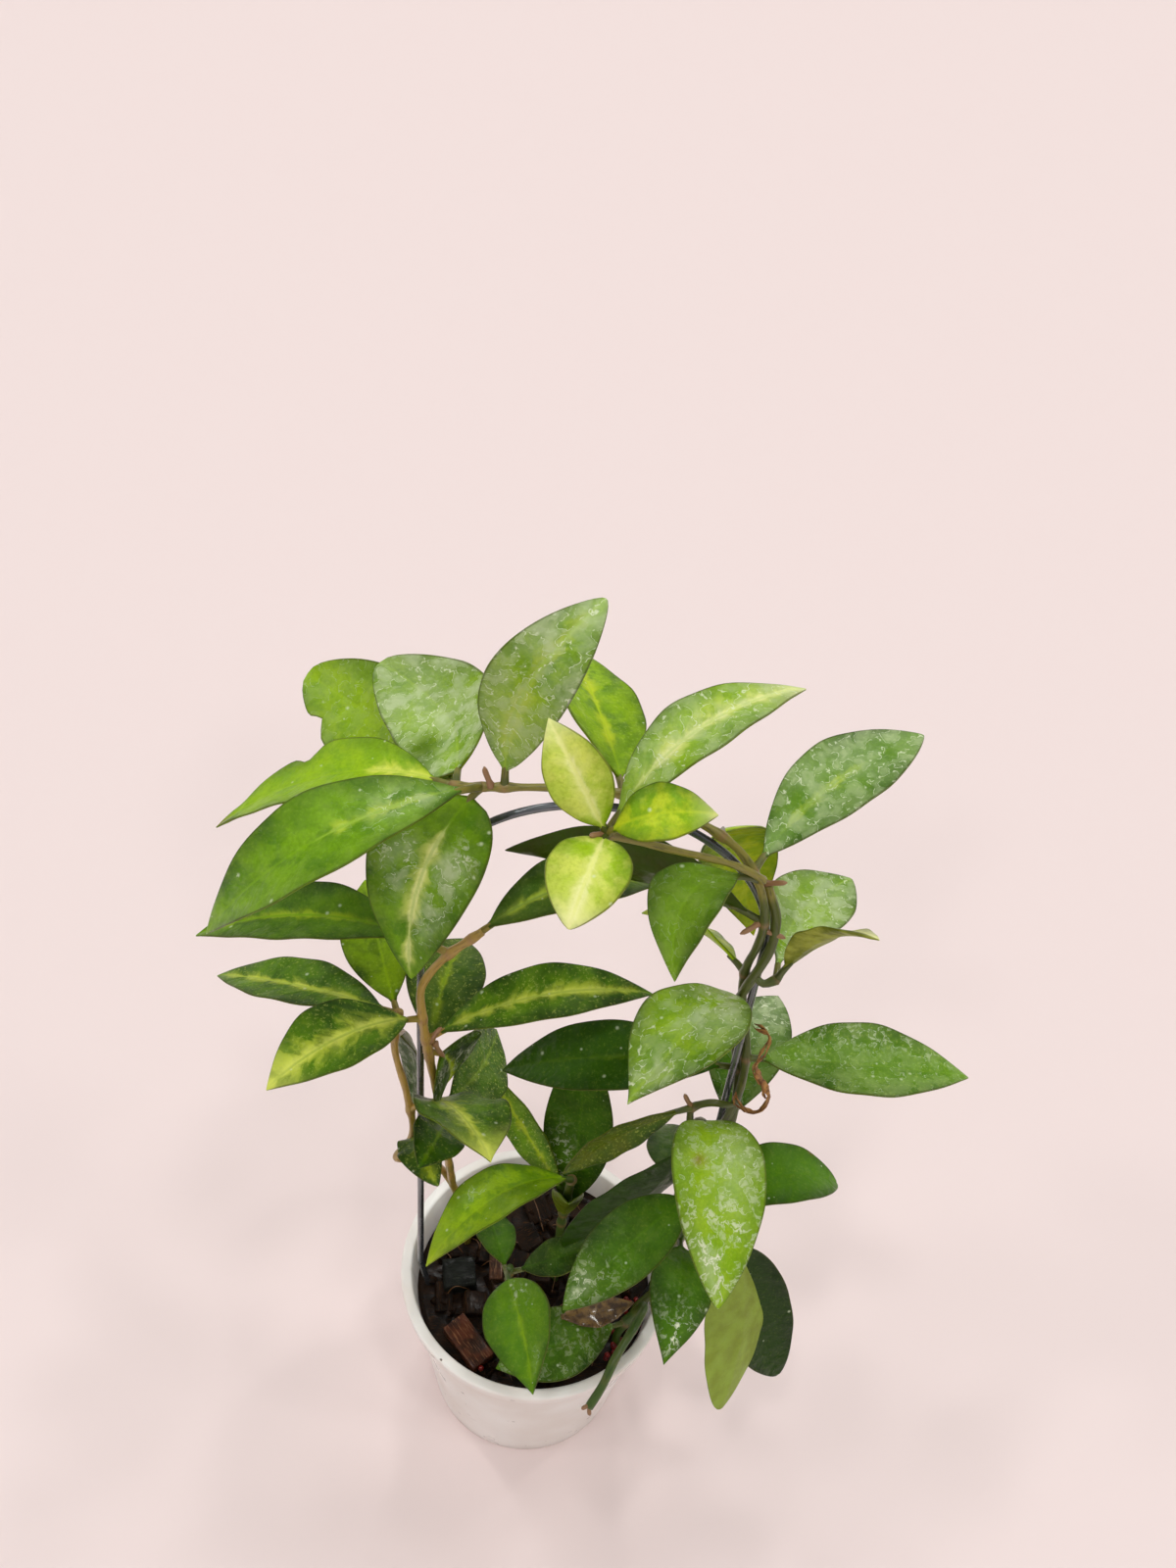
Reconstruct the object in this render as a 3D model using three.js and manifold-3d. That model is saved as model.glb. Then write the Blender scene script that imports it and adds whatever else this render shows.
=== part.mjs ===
// A potted hoya: variegated vines trained round a wire hoop in a small white pot.
// Millimetres, +Z up. The origin is the middle of the pot's base; -Y is the front.
import * as THREE from "three";
import { mergeVertices } from "three/addons/utils/BufferGeometryUtils.js";
import Module from "manifold-3d";

const wasm = await Module();
wasm.setup();

// ---------- driving dimensions ----------
const POT_HEIGHT = 62;
const RIM_RADIUS = 40;
const RIM_DROP = 4.5; // depth of the turned-down rim
const RIM_SLANT = 0.5;
const BASE_RADIUS = 29.5;
const NECK_RADIUS = 37; // outside of the wall, just under the rim
const POT_WALL = 1;
const FOOT_RADIUS = 1.5; // rounding between base and wall
const DRAIN_COUNT = 6;
const DRAIN_RADIUS = 3;
const DRAIN_CIRCLE = 19;
const POT_SIDES = 40;

const GAP = 0.3; // clearance between pieces that touch
const HOLE_GAP = GAP + 0.1; // round a stem or a leg in the mix
const MIX_TOP = 52;
const CHUNK_COUNT = 26;
const CHUNK_SPREAD = 28; // radius that the chunks are strewn over
const CHUNK_SEED = 41;
const GOLDEN_ANGLE = 137.5;

const WIRE_RADIUS = 0.9;
const HOOP_Y = -4;
const HOOP_X = 4; // middle of the arch
const HOOP_RADIUS = 38;
const HOOP_SPRING = 219; // where the straight legs meet the arch
const HOOP_FOOT = 26; // lower ends, deep in the mix
const FOOT_X = 28.5;
const RIM_BEND = { x: 32, z: 53 }; // legs lean in below this level
const RIGHT_BEND = { x: 34.5, z: 64 };
const RIGHT_STRAIGHT = 150; // the right leg is upright above this
const ARCH_STEP = 10; // degrees between the corners of the arch

const STEM_RADIUS = 1.25;
const THIN_STEM = 1;
const YOUNG_STEM = 0.9;
const DRIED_STEM = 0.8;
const STUB_RADIUS = 0.7;
const STEM_FOOT = 42; // cut ends of the stems, in the mix
const STEM_RISE = 60; // stems stand straight up to this height
const PETIOLE_RADIUS = 0.85;
const PETIOLE_REACH = 0.07; // how far a stalk runs into its blade, as a share of the leaf
const BLADE = 0.9; // leaf thickness
const BLADE_FOOT = 0.7; // half the blade's width where it meets the stalk
const WRAP = 2.9; // middle of a twining stem to middle of the wire
const TWIST_RATE = 4.6; // degrees of turn for each mm of wire
const TWIST_END = 226; // run at which the twining ends, outside the arch
const TWIST_APART = 60; // degrees between the two strands

const { cos, sin, PI, hypot, pow, min, max, abs, sqrt } = Math;
const vec = (x, y, z) => new THREE.Vector3(x, y, z);
const rad = THREE.MathUtils.degToRad;

// ---------- joining and cutting ----------
function toSolid(geometry) {
  const bare = geometry.clone();
  bare.deleteAttribute("normal");
  bare.deleteAttribute("uv");
  const welded = mergeVertices(bare, 1e-4);
  const mesh = new wasm.Mesh({
    numProp: 3,
    vertProperties: new Float32Array(welded.attributes.position.array),
    triVerts: new Uint32Array(welded.index.array),
  });
  return new wasm.Manifold(mesh);
}

function toGeometry(solid) {
  const mesh = solid.getMesh();
  const geometry = new THREE.BufferGeometry();
  geometry.setAttribute("position", new THREE.BufferAttribute(mesh.vertProperties, 3));
  geometry.setIndex(new THREE.BufferAttribute(mesh.triVerts, 1));
  return geometry;
}

function fuse(geometries) {
  let solid = toSolid(geometries[0]);
  for (const geometry of geometries.slice(1)) {
    solid = solid.add(toSolid(geometry));
  }
  return largestPiece(solid);
}

// Drops the loose scraps that a join can leave.
function largestPiece(solid) {
  const pieces = solid.decompose();
  pieces.sort((a, b) => b.volume() - a.volume());
  return pieces[0];
}

function cut(solid, geometries) {
  for (const geometry of geometries) {
    solid = solid.subtract(toSolid(geometry));
  }
  return largestPiece(solid);
}

// ---------- simple forms ----------
function ring(radius, sides) {
  const points = [];
  for (let i = 0; i < sides; i += 1) {
    const angle = (2 * PI * i) / sides;
    points.push(new THREE.Vector2(radius * cos(angle), radius * sin(angle)));
  }
  return new THREE.Shape(points);
}

function tube(curve, radius, sides, steps) {
  const settings = { steps, bevelEnabled: false, extrudePath: curve };
  return new THREE.ExtrudeGeometry(ring(radius, sides), settings);
}

const stemCurve = (points) => new THREE.CatmullRomCurve3(points.map((p) => vec(...p)));

function stem(points, radius = STEM_RADIUS, sides = 6, step = 9) {
  const curve = stemCurve(points);
  return tube(curve, radius, sides, max(2, Math.round(curve.getLength() / step)));
}

function post(x, y, radius, low, high) {
  const geometry = new THREE.CylinderGeometry(radius, radius, high - low, 8);
  geometry.rotateX(PI / 2);
  geometry.translate(x, y, (low + high) / 2);
  return geometry;
}

function block(size, place, turn) {
  const geometry = new THREE.BoxGeometry(...size);
  geometry.rotateX(rad(turn[0]));
  geometry.rotateY(rad(turn[1]));
  geometry.rotateZ(rad(turn[2]));
  geometry.translate(...place);
  return geometry;
}

function seededRandom(seed) {
  let state = seed;
  return () => {
    state = (state * 16807) % 2147483647;
    return state / 2147483647;
  };
}

// ---------- the hoop's path ----------
// The right leg, then the arch, then the left leg; run is the distance from the right foot.
const rightLeg = [
  [FOOT_X, HOOP_FOOT],
  [RIM_BEND.x, RIM_BEND.z],
  [RIGHT_BEND.x, RIGHT_BEND.z],
  [HOOP_X + HOOP_RADIUS, RIGHT_STRAIGHT],
  [HOOP_X + HOOP_RADIUS, HOOP_SPRING],
];
const leftLeg = [
  [HOOP_X - HOOP_RADIUS, HOOP_SPRING],
  [HOOP_X - HOOP_RADIUS, RIGHT_BEND.z],
  [-RIM_BEND.x, RIM_BEND.z],
  [-FOOT_X, HOOP_FOOT],
];

function legSteps(leg) {
  const steps = [];
  for (let i = 1; i < leg.length; i += 1) {
    const [x0, z0] = leg[i - 1];
    const [x1, z1] = leg[i];
    steps.push({ x0, z0, x1, z1, length: hypot(x1 - x0, z1 - z0) });
  }
  return steps;
}

const rightSteps = legSteps(rightLeg);
const rightLength = rightSteps.reduce((sum, step) => sum + step.length, 0);

// The point at a run up the right leg and over the arch, and the way outward from it.
function hoopAt(run) {
  if (run > rightLength) {
    const angle = (run - rightLength) / HOOP_RADIUS;
    const outward = vec(cos(angle), 0, sin(angle));
    const middle = vec(HOOP_X, HOOP_Y, HOOP_SPRING);
    return { point: middle.addScaledVector(outward, HOOP_RADIUS), outward };
  }
  let left = run;
  for (const step of rightSteps) {
    if (left <= step.length) {
      const k = left / step.length;
      const dx = (step.x1 - step.x0) / step.length;
      const dz = (step.z1 - step.z0) / step.length;
      const point = vec(step.x0 + k * (step.x1 - step.x0), HOOP_Y, step.z0 + k * (step.z1 - step.z0));
      return { point, outward: vec(dz, 0, -dx) };
    }
    left -= step.length;
  }
  return hoopAt(rightLength + 1e-6);
}

// A point beside the wire: turn 0 is outside the hoop, 90 in front of it.
function beside(run, turn, out = WRAP) {
  const { point, outward } = hoopAt(run);
  point.addScaledVector(outward, out * cos(rad(turn)));
  point.y -= out * sin(rad(turn));
  return point.toArray();
}

function twine(from, to, lag, step = 7) {
  const points = [];
  for (let run = from; run <= to; run += step) {
    const turn = TWIST_RATE * max(0, TWIST_END - run) - lag;
    points.push(beside(run, turn));
  }
  return points;
}

// ---------- leaves ----------
// A leaf starts at root, on its stem, and ends at tip. Its middle line rises above the
// straight line between them by arch times its length, with the crest moved towards the tip
// by lean, and bends to its left by bow times its length. Its upper side looks up, turned to
// the front by tilt and about its length by roll, in degrees. cup lifts the two edges, and
// petiole is the length of the stalk. The widest place is nearer to the stalk at a low skew,
// and the two ends are rounder at a low blunt.
const LEAF = {
  wide: 22, arch: 0.1, lean: 1, bow: 0, tilt: 15, roll: 0, cup: 0.2, petiole: 4, skew: 0.97, blunt: 0.86,
};

function leafFrame(leaf) {
  const root = vec(...leaf.root);
  const along = vec(...leaf.tip).sub(root);
  const length = along.length();
  along.normalize();
  const up = vec(0, -sin(rad(leaf.tilt)), cos(rad(leaf.tilt)));
  up.addScaledVector(along, -up.dot(along)).normalize();
  up.applyAxisAngle(along, rad(leaf.roll));
  const side = vec(0, 0, 0).crossVectors(along, up);
  return { root, along, up, side, length };
}

function midline(leaf, frame, t) {
  const crest = leaf.lean / (leaf.lean + 1);
  const full = pow(crest, leaf.lean) * (1 - crest);
  const rise = (leaf.arch * pow(max(t, 0), leaf.lean) * (1 - t)) / full;
  const point = frame.root.clone();
  point.addScaledVector(frame.along, frame.length * t);
  point.addScaledVector(frame.side, -frame.length * leaf.bow * 4 * t * (1 - t));
  return point.addScaledVector(frame.up, frame.length * rise);
}

// Half the width at s, from 0 at the stalk to 1 at the tip, with a drawn-out tip.
function leafOutline(leaf, s) {
  return pow(sin(PI * pow(s, leaf.skew)), leaf.blunt) * (1 - 0.25 * pow(s, 8));
}

function leafPoint(leaf, frame, s, u) {
  const start = leaf.petiole / frame.length;
  const t = start + (1 - start) * s;
  const middle = midline(leaf, frame, t);
  const ahead = midline(leaf, frame, t + 0.01).sub(midline(leaf, frame, t - 0.01)).normalize();
  const normal = vec(0, 0, 0).crossVectors(frame.side, ahead);
  const reach = s < 1 ? max(BLADE_FOOT, (leaf.wide / 2) * leafOutline(leaf, s)) : 0;
  middle.addScaledVector(frame.side, u * reach * sqrt(1 - leaf.cup * leaf.cup * u * u));
  return middle.addScaledVector(normal, leaf.cup * reach * abs(u) * (0.4 + 0.6 * abs(u)));
}

function leafNormal(leaf, frame, s, u) {
  const d = 0.02;
  const s0 = min(s, 0.96);
  const along = leafPoint(leaf, frame, s0 + d, u).sub(leafPoint(leaf, frame, max(s0 - d, 0), u));
  const across = leafPoint(leaf, frame, s0, min(u + d, 1)).sub(leafPoint(leaf, frame, s0, max(u - d, -1)));
  return vec(0, 0, 0).crossVectors(across, along).normalize();
}

const STATIONS = [0, 0.14, 0.36, 0.62, 0.86]; // rows of points along a blade
const LANES = [-1, -0.5, 0, 0.5, 1]; // points across a blade

// A blade of even thickness: one sheet of points above, the same sheet below.
function blade(leaf) {
  const frame = leafFrame(leaf);
  const points = [];
  const put = (s, u, offset) => {
    const point = leafPoint(leaf, frame, s, u);
    point.addScaledVector(leafNormal(leaf, frame, s, u), offset);
    points.push(...point.toArray());
  };
  for (const offset of [BLADE / 2, -BLADE / 2]) {
    for (const s of STATIONS) {
      for (const u of LANES) {
        put(s, u, offset);
      }
    }
    put(1, 0, offset);
  }
  const lanes = LANES.length;
  const sheet = STATIONS.length * lanes + 1; // points in one sheet
  const at = (row, lane) => row * lanes + lane;
  const faces = [];
  const both = (a, b, c) => {
    faces.push(a, b, c);
    faces.push(a + sheet, c + sheet, b + sheet);
  };
  const wall = (a, b) => {
    faces.push(b, a, a + sheet);
    faces.push(b, a + sheet, b + sheet);
  };
  const last = STATIONS.length - 1;
  for (let row = 0; row < last; row += 1) {
    for (let lane = 0; lane < lanes - 1; lane += 1) {
      both(at(row, lane), at(row, lane + 1), at(row + 1, lane + 1));
      both(at(row, lane), at(row + 1, lane + 1), at(row + 1, lane));
    }
    wall(at(row + 1, 0), at(row, 0));
    wall(at(row, lanes - 1), at(row + 1, lanes - 1));
  }
  for (let lane = 0; lane < lanes - 1; lane += 1) {
    both(at(last, lane), at(last, lane + 1), sheet - 1);
    wall(at(0, lane), at(0, lane + 1));
  }
  wall(sheet - 1, at(last, 0));
  wall(at(last, lanes - 1), sheet - 1);
  const geometry = new THREE.BufferGeometry();
  geometry.setAttribute("position", new THREE.Float32BufferAttribute(points, 3));
  geometry.setIndex(faces);
  return geometry;
}

function stalk(leaf) {
  const frame = leafFrame(leaf);
  const end = leaf.petiole / frame.length + PETIOLE_REACH;
  const points = [0, 0.5 * end, end].map((t) => midline(leaf, frame, t));
  return tube(new THREE.CatmullRomCurve3(points), PETIOLE_RADIUS, 5, 2);
}

// The point on the stems nearest to a place.
function nearestOn(stems, place) {
  let best = null;
  for (const route of stems) {
    const curve = stemCurve(route);
    for (const point of curve.getSpacedPoints(Math.round(curve.getLength()))) {
      if (!best || point.distanceTo(place) < best.distanceTo(place)) {
        best = point;
      }
    }
  }
  return best.toArray();
}

// A side stem, joined to the nearest point of the stem that it grows from.
function branch(stems, route) {
  return [nearestOn(stems, vec(...route[0])), ...route.slice(1)];
}

function leafParts(leaves, stems) {
  return leaves.flatMap((given) => {
    const leaf = { ...LEAF, ...given };
    leaf.root = nearestOn(stems, vec(...given.root));
    return [stalk(leaf), blade(leaf)];
  });
}

// A short pointed stub, left where a flower stalk or a leaf has fallen.
function stub(root, tip) {
  const curve = new THREE.LineCurve3(vec(...root), vec(...tip));
  return tube(curve, STUB_RADIUS, 5, 1);
}

// ---------- the pot ----------
const wallSlope = (NECK_RADIUS - BASE_RADIUS) / (POT_HEIGHT - RIM_DROP);
const outsideAt = (z) => BASE_RADIUS + wallSlope * z;
const insideAt = (z) => outsideAt(z) - POT_WALL;

function pot() {
  const profile = [
    [0, 0],
    [BASE_RADIUS - FOOT_RADIUS, 0],
    [BASE_RADIUS, FOOT_RADIUS],
    [NECK_RADIUS, POT_HEIGHT - RIM_DROP],
    [RIM_RADIUS - RIM_SLANT, POT_HEIGHT - RIM_DROP],
    [RIM_RADIUS, POT_HEIGHT - 1],
    [RIM_RADIUS - 0.5, POT_HEIGHT],
    [NECK_RADIUS - 0.2, POT_HEIGHT],
    [insideAt(POT_HEIGHT - RIM_DROP), POT_HEIGHT - RIM_DROP],
    [insideAt(POT_WALL + FOOT_RADIUS), POT_WALL + FOOT_RADIUS],
    [BASE_RADIUS - FOOT_RADIUS - POT_WALL, POT_WALL],
    [0, POT_WALL],
  ].map(([r, z]) => new THREE.Vector2(r, z));
  const body = new THREE.LatheGeometry(profile, POT_SIDES);
  body.rotateX(PI / 2);
  const drains = [];
  for (let i = 0; i < DRAIN_COUNT; i += 1) {
    const angle = (2 * PI * i) / DRAIN_COUNT;
    const x = DRAIN_CIRCLE * cos(angle);
    const y = DRAIN_CIRCLE * sin(angle);
    drains.push(post(x, y, DRAIN_RADIUS, -1, POT_WALL + 1));
  }
  return toGeometry(cut(toSolid(body), drains));
}

// ---------- the mix and what lies on it ----------
const squareChunk = { size: [10, 9, 9], place: [-22.5, -2, 53.5], turn: [8, -4, 12] };
const redChip = { size: [15, 7.5, 5], place: [-17, -22.5, 54.5], turn: [6, 5, -45] };
const thinChip = { size: [4, 11, 3], place: [-12, 3, 54.5], turn: [3, -8, 6] };

const plantings = {
  rightA: [28, 1],
  rightB: [30.5, -9.5],
  left: [-22, 11],
  centre: [6, 1],
  front: [-5, -15],
  lowRight: [23, -6],
  cutStem: [26, -17],
};

function mix() {
  const low = POT_WALL + GAP;
  const profile = [
    [0, low],
    [BASE_RADIUS - FOOT_RADIUS - POT_WALL - GAP, low],
    [insideAt(POT_WALL + FOOT_RADIUS) - GAP, POT_WALL + FOOT_RADIUS + GAP],
    [insideAt(MIX_TOP) - GAP, MIX_TOP],
    [0, MIX_TOP],
  ].map(([r, z]) => new THREE.Vector2(r, z));
  const body = new THREE.LatheGeometry(profile, POT_SIDES);
  body.rotateX(PI / 2);
  const random = seededRandom(CHUNK_SEED);
  const chunks = [];
  for (let i = 0; i < CHUNK_COUNT; i += 1) {
    const angle = i * rad(GOLDEN_ANGLE);
    const radius = CHUNK_SPREAD * sqrt((i + 0.5) / CHUNK_COUNT);
    const size = [5 + 4 * random(), 4 + 4 * random(), 4 + 2 * random()];
    const place = [radius * cos(angle), radius * sin(angle), MIX_TOP - 1 + 1.5 * random()];
    const turn = [50 * (random() - 0.5), 50 * (random() - 0.5), 180 * random()];
    chunks.push(block(size, place, turn));
  }
  const holes = Object.values(plantings).map(([x, y]) => {
    return post(x, y, STEM_RADIUS + HOLE_GAP, STEM_FOOT - GAP, STEM_RISE);
  });
  for (const legSide of [1, -1]) {
    const foot = [legSide * FOOT_X, HOOP_Y, HOOP_FOOT];
    const bend = [legSide * RIM_BEND.x, HOOP_Y, RIM_BEND.z];
    const steep = vec(...bend).sub(vec(...foot)).normalize();
    const start = vec(...foot).addScaledVector(steep, -GAP);
    const end = vec(...bend).addScaledVector(steep, 9);
    holes.push(tube(new THREE.LineCurve3(start, end), WIRE_RADIUS + HOLE_GAP, 8, 1));
  }
  for (const piece of [squareChunk, redChip, thinChip]) {
    holes.push(block(piece.size.map((side) => side + 2 * GAP), piece.place, piece.turn));
  }
  return toGeometry(cut(fuse([body, ...chunks]), holes));
}

const chunkPiece = (piece) => block(piece.size, piece.place, piece.turn);

// ---------- the wire hoop ----------
function wireHoop() {
  const wirePoint = ([x, z]) => vec(x, HOOP_Y, z);
  const points = rightLeg.slice(0, -1).map(wirePoint);
  for (let angle = 0; angle <= 180; angle += ARCH_STEP) {
    const x = HOOP_X + HOOP_RADIUS * cos(rad(angle));
    const z = HOOP_SPRING + HOOP_RADIUS * sin(rad(angle));
    points.push(vec(x, HOOP_Y, z));
  }
  points.push(...leftLeg.slice(1).map(wirePoint));
  return sweep(points, ring(WIRE_RADIUS, 8).getPoints());
}

// Sweeps an outline along points in the hoop's plane, with a mitre at each.
function sweep(points, outline) {
  const sides = outline.length;
  const vertices = [];
  points.forEach((point, i) => {
    const before = points[max(i - 1, 0)];
    const after = points[min(i + 1, points.length - 1)];
    const ahead = after.clone().sub(before).normalize();
    const across = vec(ahead.z, 0, -ahead.x);
    for (const { x, y } of outline) {
      vertices.push(...point.clone().addScaledVector(across, x).add(vec(0, y, 0)).toArray());
    }
  });
  const faces = [];
  for (let i = 0; i < points.length - 1; i += 1) {
    for (let k = 0; k < sides; k += 1) {
      const a = i * sides + k;
      const b = i * sides + ((k + 1) % sides);
      faces.push(a, b, b + sides, a, b + sides, a + sides);
    }
  }
  const last = (points.length - 1) * sides;
  for (let k = 1; k < sides - 1; k += 1) {
    faces.push(0, k + 1, k);
    faces.push(last, last + k, last + k + 1);
  }
  const geometry = new THREE.BufferGeometry();
  geometry.setAttribute("position", new THREE.Float32BufferAttribute(vertices, 3));
  geometry.setIndex(faces);
  return geometry;
}

// ---------- the right-hand vine ----------
function rooted([x, y]) {
  return [
    [x, y, STEM_FOOT],
    [x, y, STEM_RISE - 8],
    [x, y, STEM_RISE],
  ];
}

const archStem = [
  ...rooted(plantings.rightA),
  ...twine(92, 240, 0),
  [5, HOOP_Y, 261],
  [-7, HOOP_Y, 260.5],
  [-18, HOOP_Y, 259],
  [-28, -2, 256],
];
const secondStem = [...rooted(plantings.rightB), ...twine(45, 206, TWIST_APART), beside(214, 0)];
const youngShoot = branch([archStem], [
  [38, -4, 244],
  [37.5, -7, 244],
  [32, -9, 249],
  [16, -17, 260],
  [4, -22, 267],
]);
const frontShoot = branch([archStem], [
  [44, -6, 163],
  [42, -7.6, 165],
  [38, -8.2, 166],
  [34, -8, 163],
  [34, -7, 157],
  [35, -6, 151],
]);

// A short spur that passes in front of the wire.
const spur = branch([archStem, secondStem], [
  [40, -7, 213],
  [43, -7.6, 212],
  [46, -6, 212],
]);

const rightLeaves = [
  {
    root: [-17, -4, 259], tip: [-1, 5, 301], wide: 17,
    arch: 0.16, lean: 2, tilt: 60, bow: 0.11, roll: -3, skew: 1.1, blunt: 0.58,
  },
  {
    root: [-27, -2, 256], tip: [-49, 33, 258], wide: 25,
    arch: -0.17, lean: 1.4, bow: -0.12, roll: -26, skew: 1, blunt: 0.4,
  },
  {
    root: [-28, -1, 256], tip: [-68, 42, 245], wide: 26,
    arch: -0.18, bow: -0.01, roll: -31, skew: 1.5, blunt: 0.42,
  },
  { root: [-28, -2, 256], tip: [-80, 3, 231], wide: 22.5, arch: 0.06, tilt: -5, bow: -0.12 },
  { root: [-22, -4, 258], tip: [-72, -31, 236], wide: 22.5, arch: 0.28, tilt: 20, bow: 0.15, roll: 20 },
  {
    root: [-22, -5, 258], tip: [-33, -22, 218], wide: 25,
    arch: 0.03, tilt: 50, bow: -0.11, roll: 10, petiole: 3, skew: 0.68, blunt: 0.72,
  },
  { root: [7, -3, 261], tip: [-9, 40, 263], wide: 22, arch: 0.05, bow: 0.01, roll: 30 },
  {
    root: [38, -3, 245], tip: [70, 25, 261], wide: 19.5,
    arch: 0.03, bow: 0.07, roll: -13, skew: 1.15, blunt: 0.7,
  },
  {
    root: [46, -6, 212], tip: [65, 28, 212], wide: 19.5,
    arch: -0.03, lean: 1.5, bow: 0.12, roll: 2, skew: 1.45, blunt: 0.72,
  },
  { root: [46, -6, 212], tip: [61, -19, 243], wide: 12, arch: 0.13, roll: -60 },
  { root: [27, -2, 252], tip: [43, 16, 201], wide: 19, arch: -0.17, tilt: 60, bow: 0.05, roll: -5 },
  { root: [37, -6, 243], tip: [21, -29, 235], wide: 17, arch: 0.34, bow: -0.15, roll: 20 },
  { root: [40, -3, 210], tip: [16, 22, 198], wide: 13, arch: 0.1, roll: 60 },
  { root: [39, -7, 231], tip: [-17, 5, 232], wide: 21, arch: 0.04, tilt: -80, bow: 0.09, roll: -5 },
  {
    root: [41, -7, 201], tip: [15, -39, 206], wide: 24,
    arch: 0.31, bow: 0.14, roll: 23, skew: 1.3, blunt: 1.05,
  },
  { root: [45, -4, 178], tip: [97, -5, 183], wide: 24.5, arch: 0.04, tilt: 2, bow: -0.02, roll: -10 },
  { root: [41, -4, 172], tip: [-14, 0, 158], wide: 18.5, arch: 0.22, tilt: 4, bow: 0.04, roll: -10 },
  { root: [44, -6, 150], tip: [57, 34, 158], wide: 21.5, arch: 0.15, bow: 0.06, roll: -5 },
  { root: [34, -8, 163], tip: [4, -20, 146], wide: 13, arch: 0.05, bow: -0.2, roll: -75 },
  {
    root: [35, -6, 151], tip: [43, -50, 145], wide: 23.5,
    arch: 0.37, lean: 0.5, bow: -0.02, roll: -9, skew: 0.7, blunt: 0.67,
  },
  { root: [40, -1, 110], tip: [34, 28, 101], wide: 14.5, arch: 0.1, roll: -10 },
  { root: [3, -22, 267], tip: [-9, -13, 286], wide: 12.5, arch: 0.15, bow: -0.04, roll: -35, petiole: 2 },
  {
    root: [4, -22, 266], tip: [-1, -43, 263], wide: 16,
    arch: 0.12, bow: 0.01, roll: 6, petiole: 2, skew: 0.88, blunt: 0.65,
  },
  { root: [4, -22, 267], tip: [24, -21, 274], wide: 12, arch: 0.28, bow: -0.03, roll: 5, petiole: 2 },
  { root: [4, -21, 268], tip: [39, 4, 286], wide: 16.5, arch: 0.13, bow: 0.04, roll: -20 },
];

function rightVine() {
  const rightStems = [archStem, secondStem, youngShoot, frontShoot, spur];
  const stems = [stem(archStem), stem(secondStem), stem(youngShoot, YOUNG_STEM)];
  stems.push(stem(frontShoot, THIN_STEM), stem(spur, THIN_STEM));
  const stubs = [
    stub([38, -4, 240], [43, -6, 243]),
    stub([-20, -4, 259], [-21, -4, 264]),
    stub([4, -22, 267], [1, -25, 269]),
    stub([34, -8, 163], [31, -8, 168]),
  ];
  return toGeometry(fuse([...stems, ...leafParts(rightLeaves, rightStems), ...stubs]));
}

// ---------- the left-hand vine ----------
const outerStem = [
  ...rooted(plantings.left),
  [-25, 7, 85],
  [-31, 2, 108],
  [-38, -3, 117],
  [-40, -7, 124],
  [-35.5, -8, 137],
  [-37, -7.5, 155],
  [-40, -6, 171],
  [-39, -5, 184],
];
const innerStem = branch([outerStem], [
  [-27, 5, 92],
  [-27, -2, 120],
  [-29, -6, 150],
  [-31, -8, 170],
  [-33, -8, 188],
  [-33, -8, 198],
  [-28, -8, 209],
  [-20, -7, 218],
]);
const leftLeaves = [
  { root: [-27, -8, 211], tip: [-84, -8, 207], wide: 20, arch: 0.11, tilt: -7, bow: -0.04, petiole: 9 },
  { root: [-22, -7, 216], tip: [20, 13, 219], wide: 18, arch: 0.16, tilt: -5 },
  { root: [-39, -5, 182], tip: [-54, 31, 189], wide: 18, arch: 0.05, roll: -10 },
  { root: [-39, -5, 183], tip: [-87, 8, 173], wide: 19, arch: 0.07, tilt: -10, bow: 0.04, roll: 5 },
  { root: [-33, -8, 186], tip: [-63, -34, 189], wide: 21, arch: 0.11, tilt: 5, bow: -0.03, roll: 10 },
  { root: [-31, -8, 172], tip: [-28, 29, 173], wide: 20, arch: 0.12, bow: 0.04, roll: 5 },
  { root: [-31, -8, 178], tip: [21, 7, 186], wide: 16.5, arch: 0.17, tilt: 0, bow: -0.02 },
  {
    root: [-31, -8, 174], tip: [-28, -6, 157], wide: 22.5,
    arch: 0.13, tilt: 60, bow: 0.16, roll: -59, skew: 0.83, blunt: 0.81,
  },
  { root: [-28, -5, 148], tip: [-18, 26, 140], wide: 19.5, arch: 0.05, bow: -0.06, roll: 44 },
  {
    root: [-35, -7, 148], tip: [-13, -32, 167], wide: 26,
    arch: 0.19, bow: -0.04, roll: -43, skew: 1.4, blunt: 1.08,
  },
  { root: [-28, -4, 140], tip: [-31, -26, 151], wide: 14, arch: 0.16, bow: 0.02, roll: -17 },
  { root: [-28, -3, 130], tip: [-26, -26, 144], wide: 13, arch: 0.3, bow: -0.05, roll: 32, blunt: 0.62 },
  { root: [-40, -6, 175], tip: [-38, 4, 122], wide: 12, arch: -0.13, bow: -0.13, roll: 72, skew: 0.8 },
];

function leftVine() {
  const stubs = [stub([-31, -8, 178], [-28, -9, 185])];
  const leaves = leafParts(leftLeaves, [outerStem, innerStem]);
  return toGeometry(fuse([stem(outerStem), stem(innerStem), ...leaves, ...stubs]));
}

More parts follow.
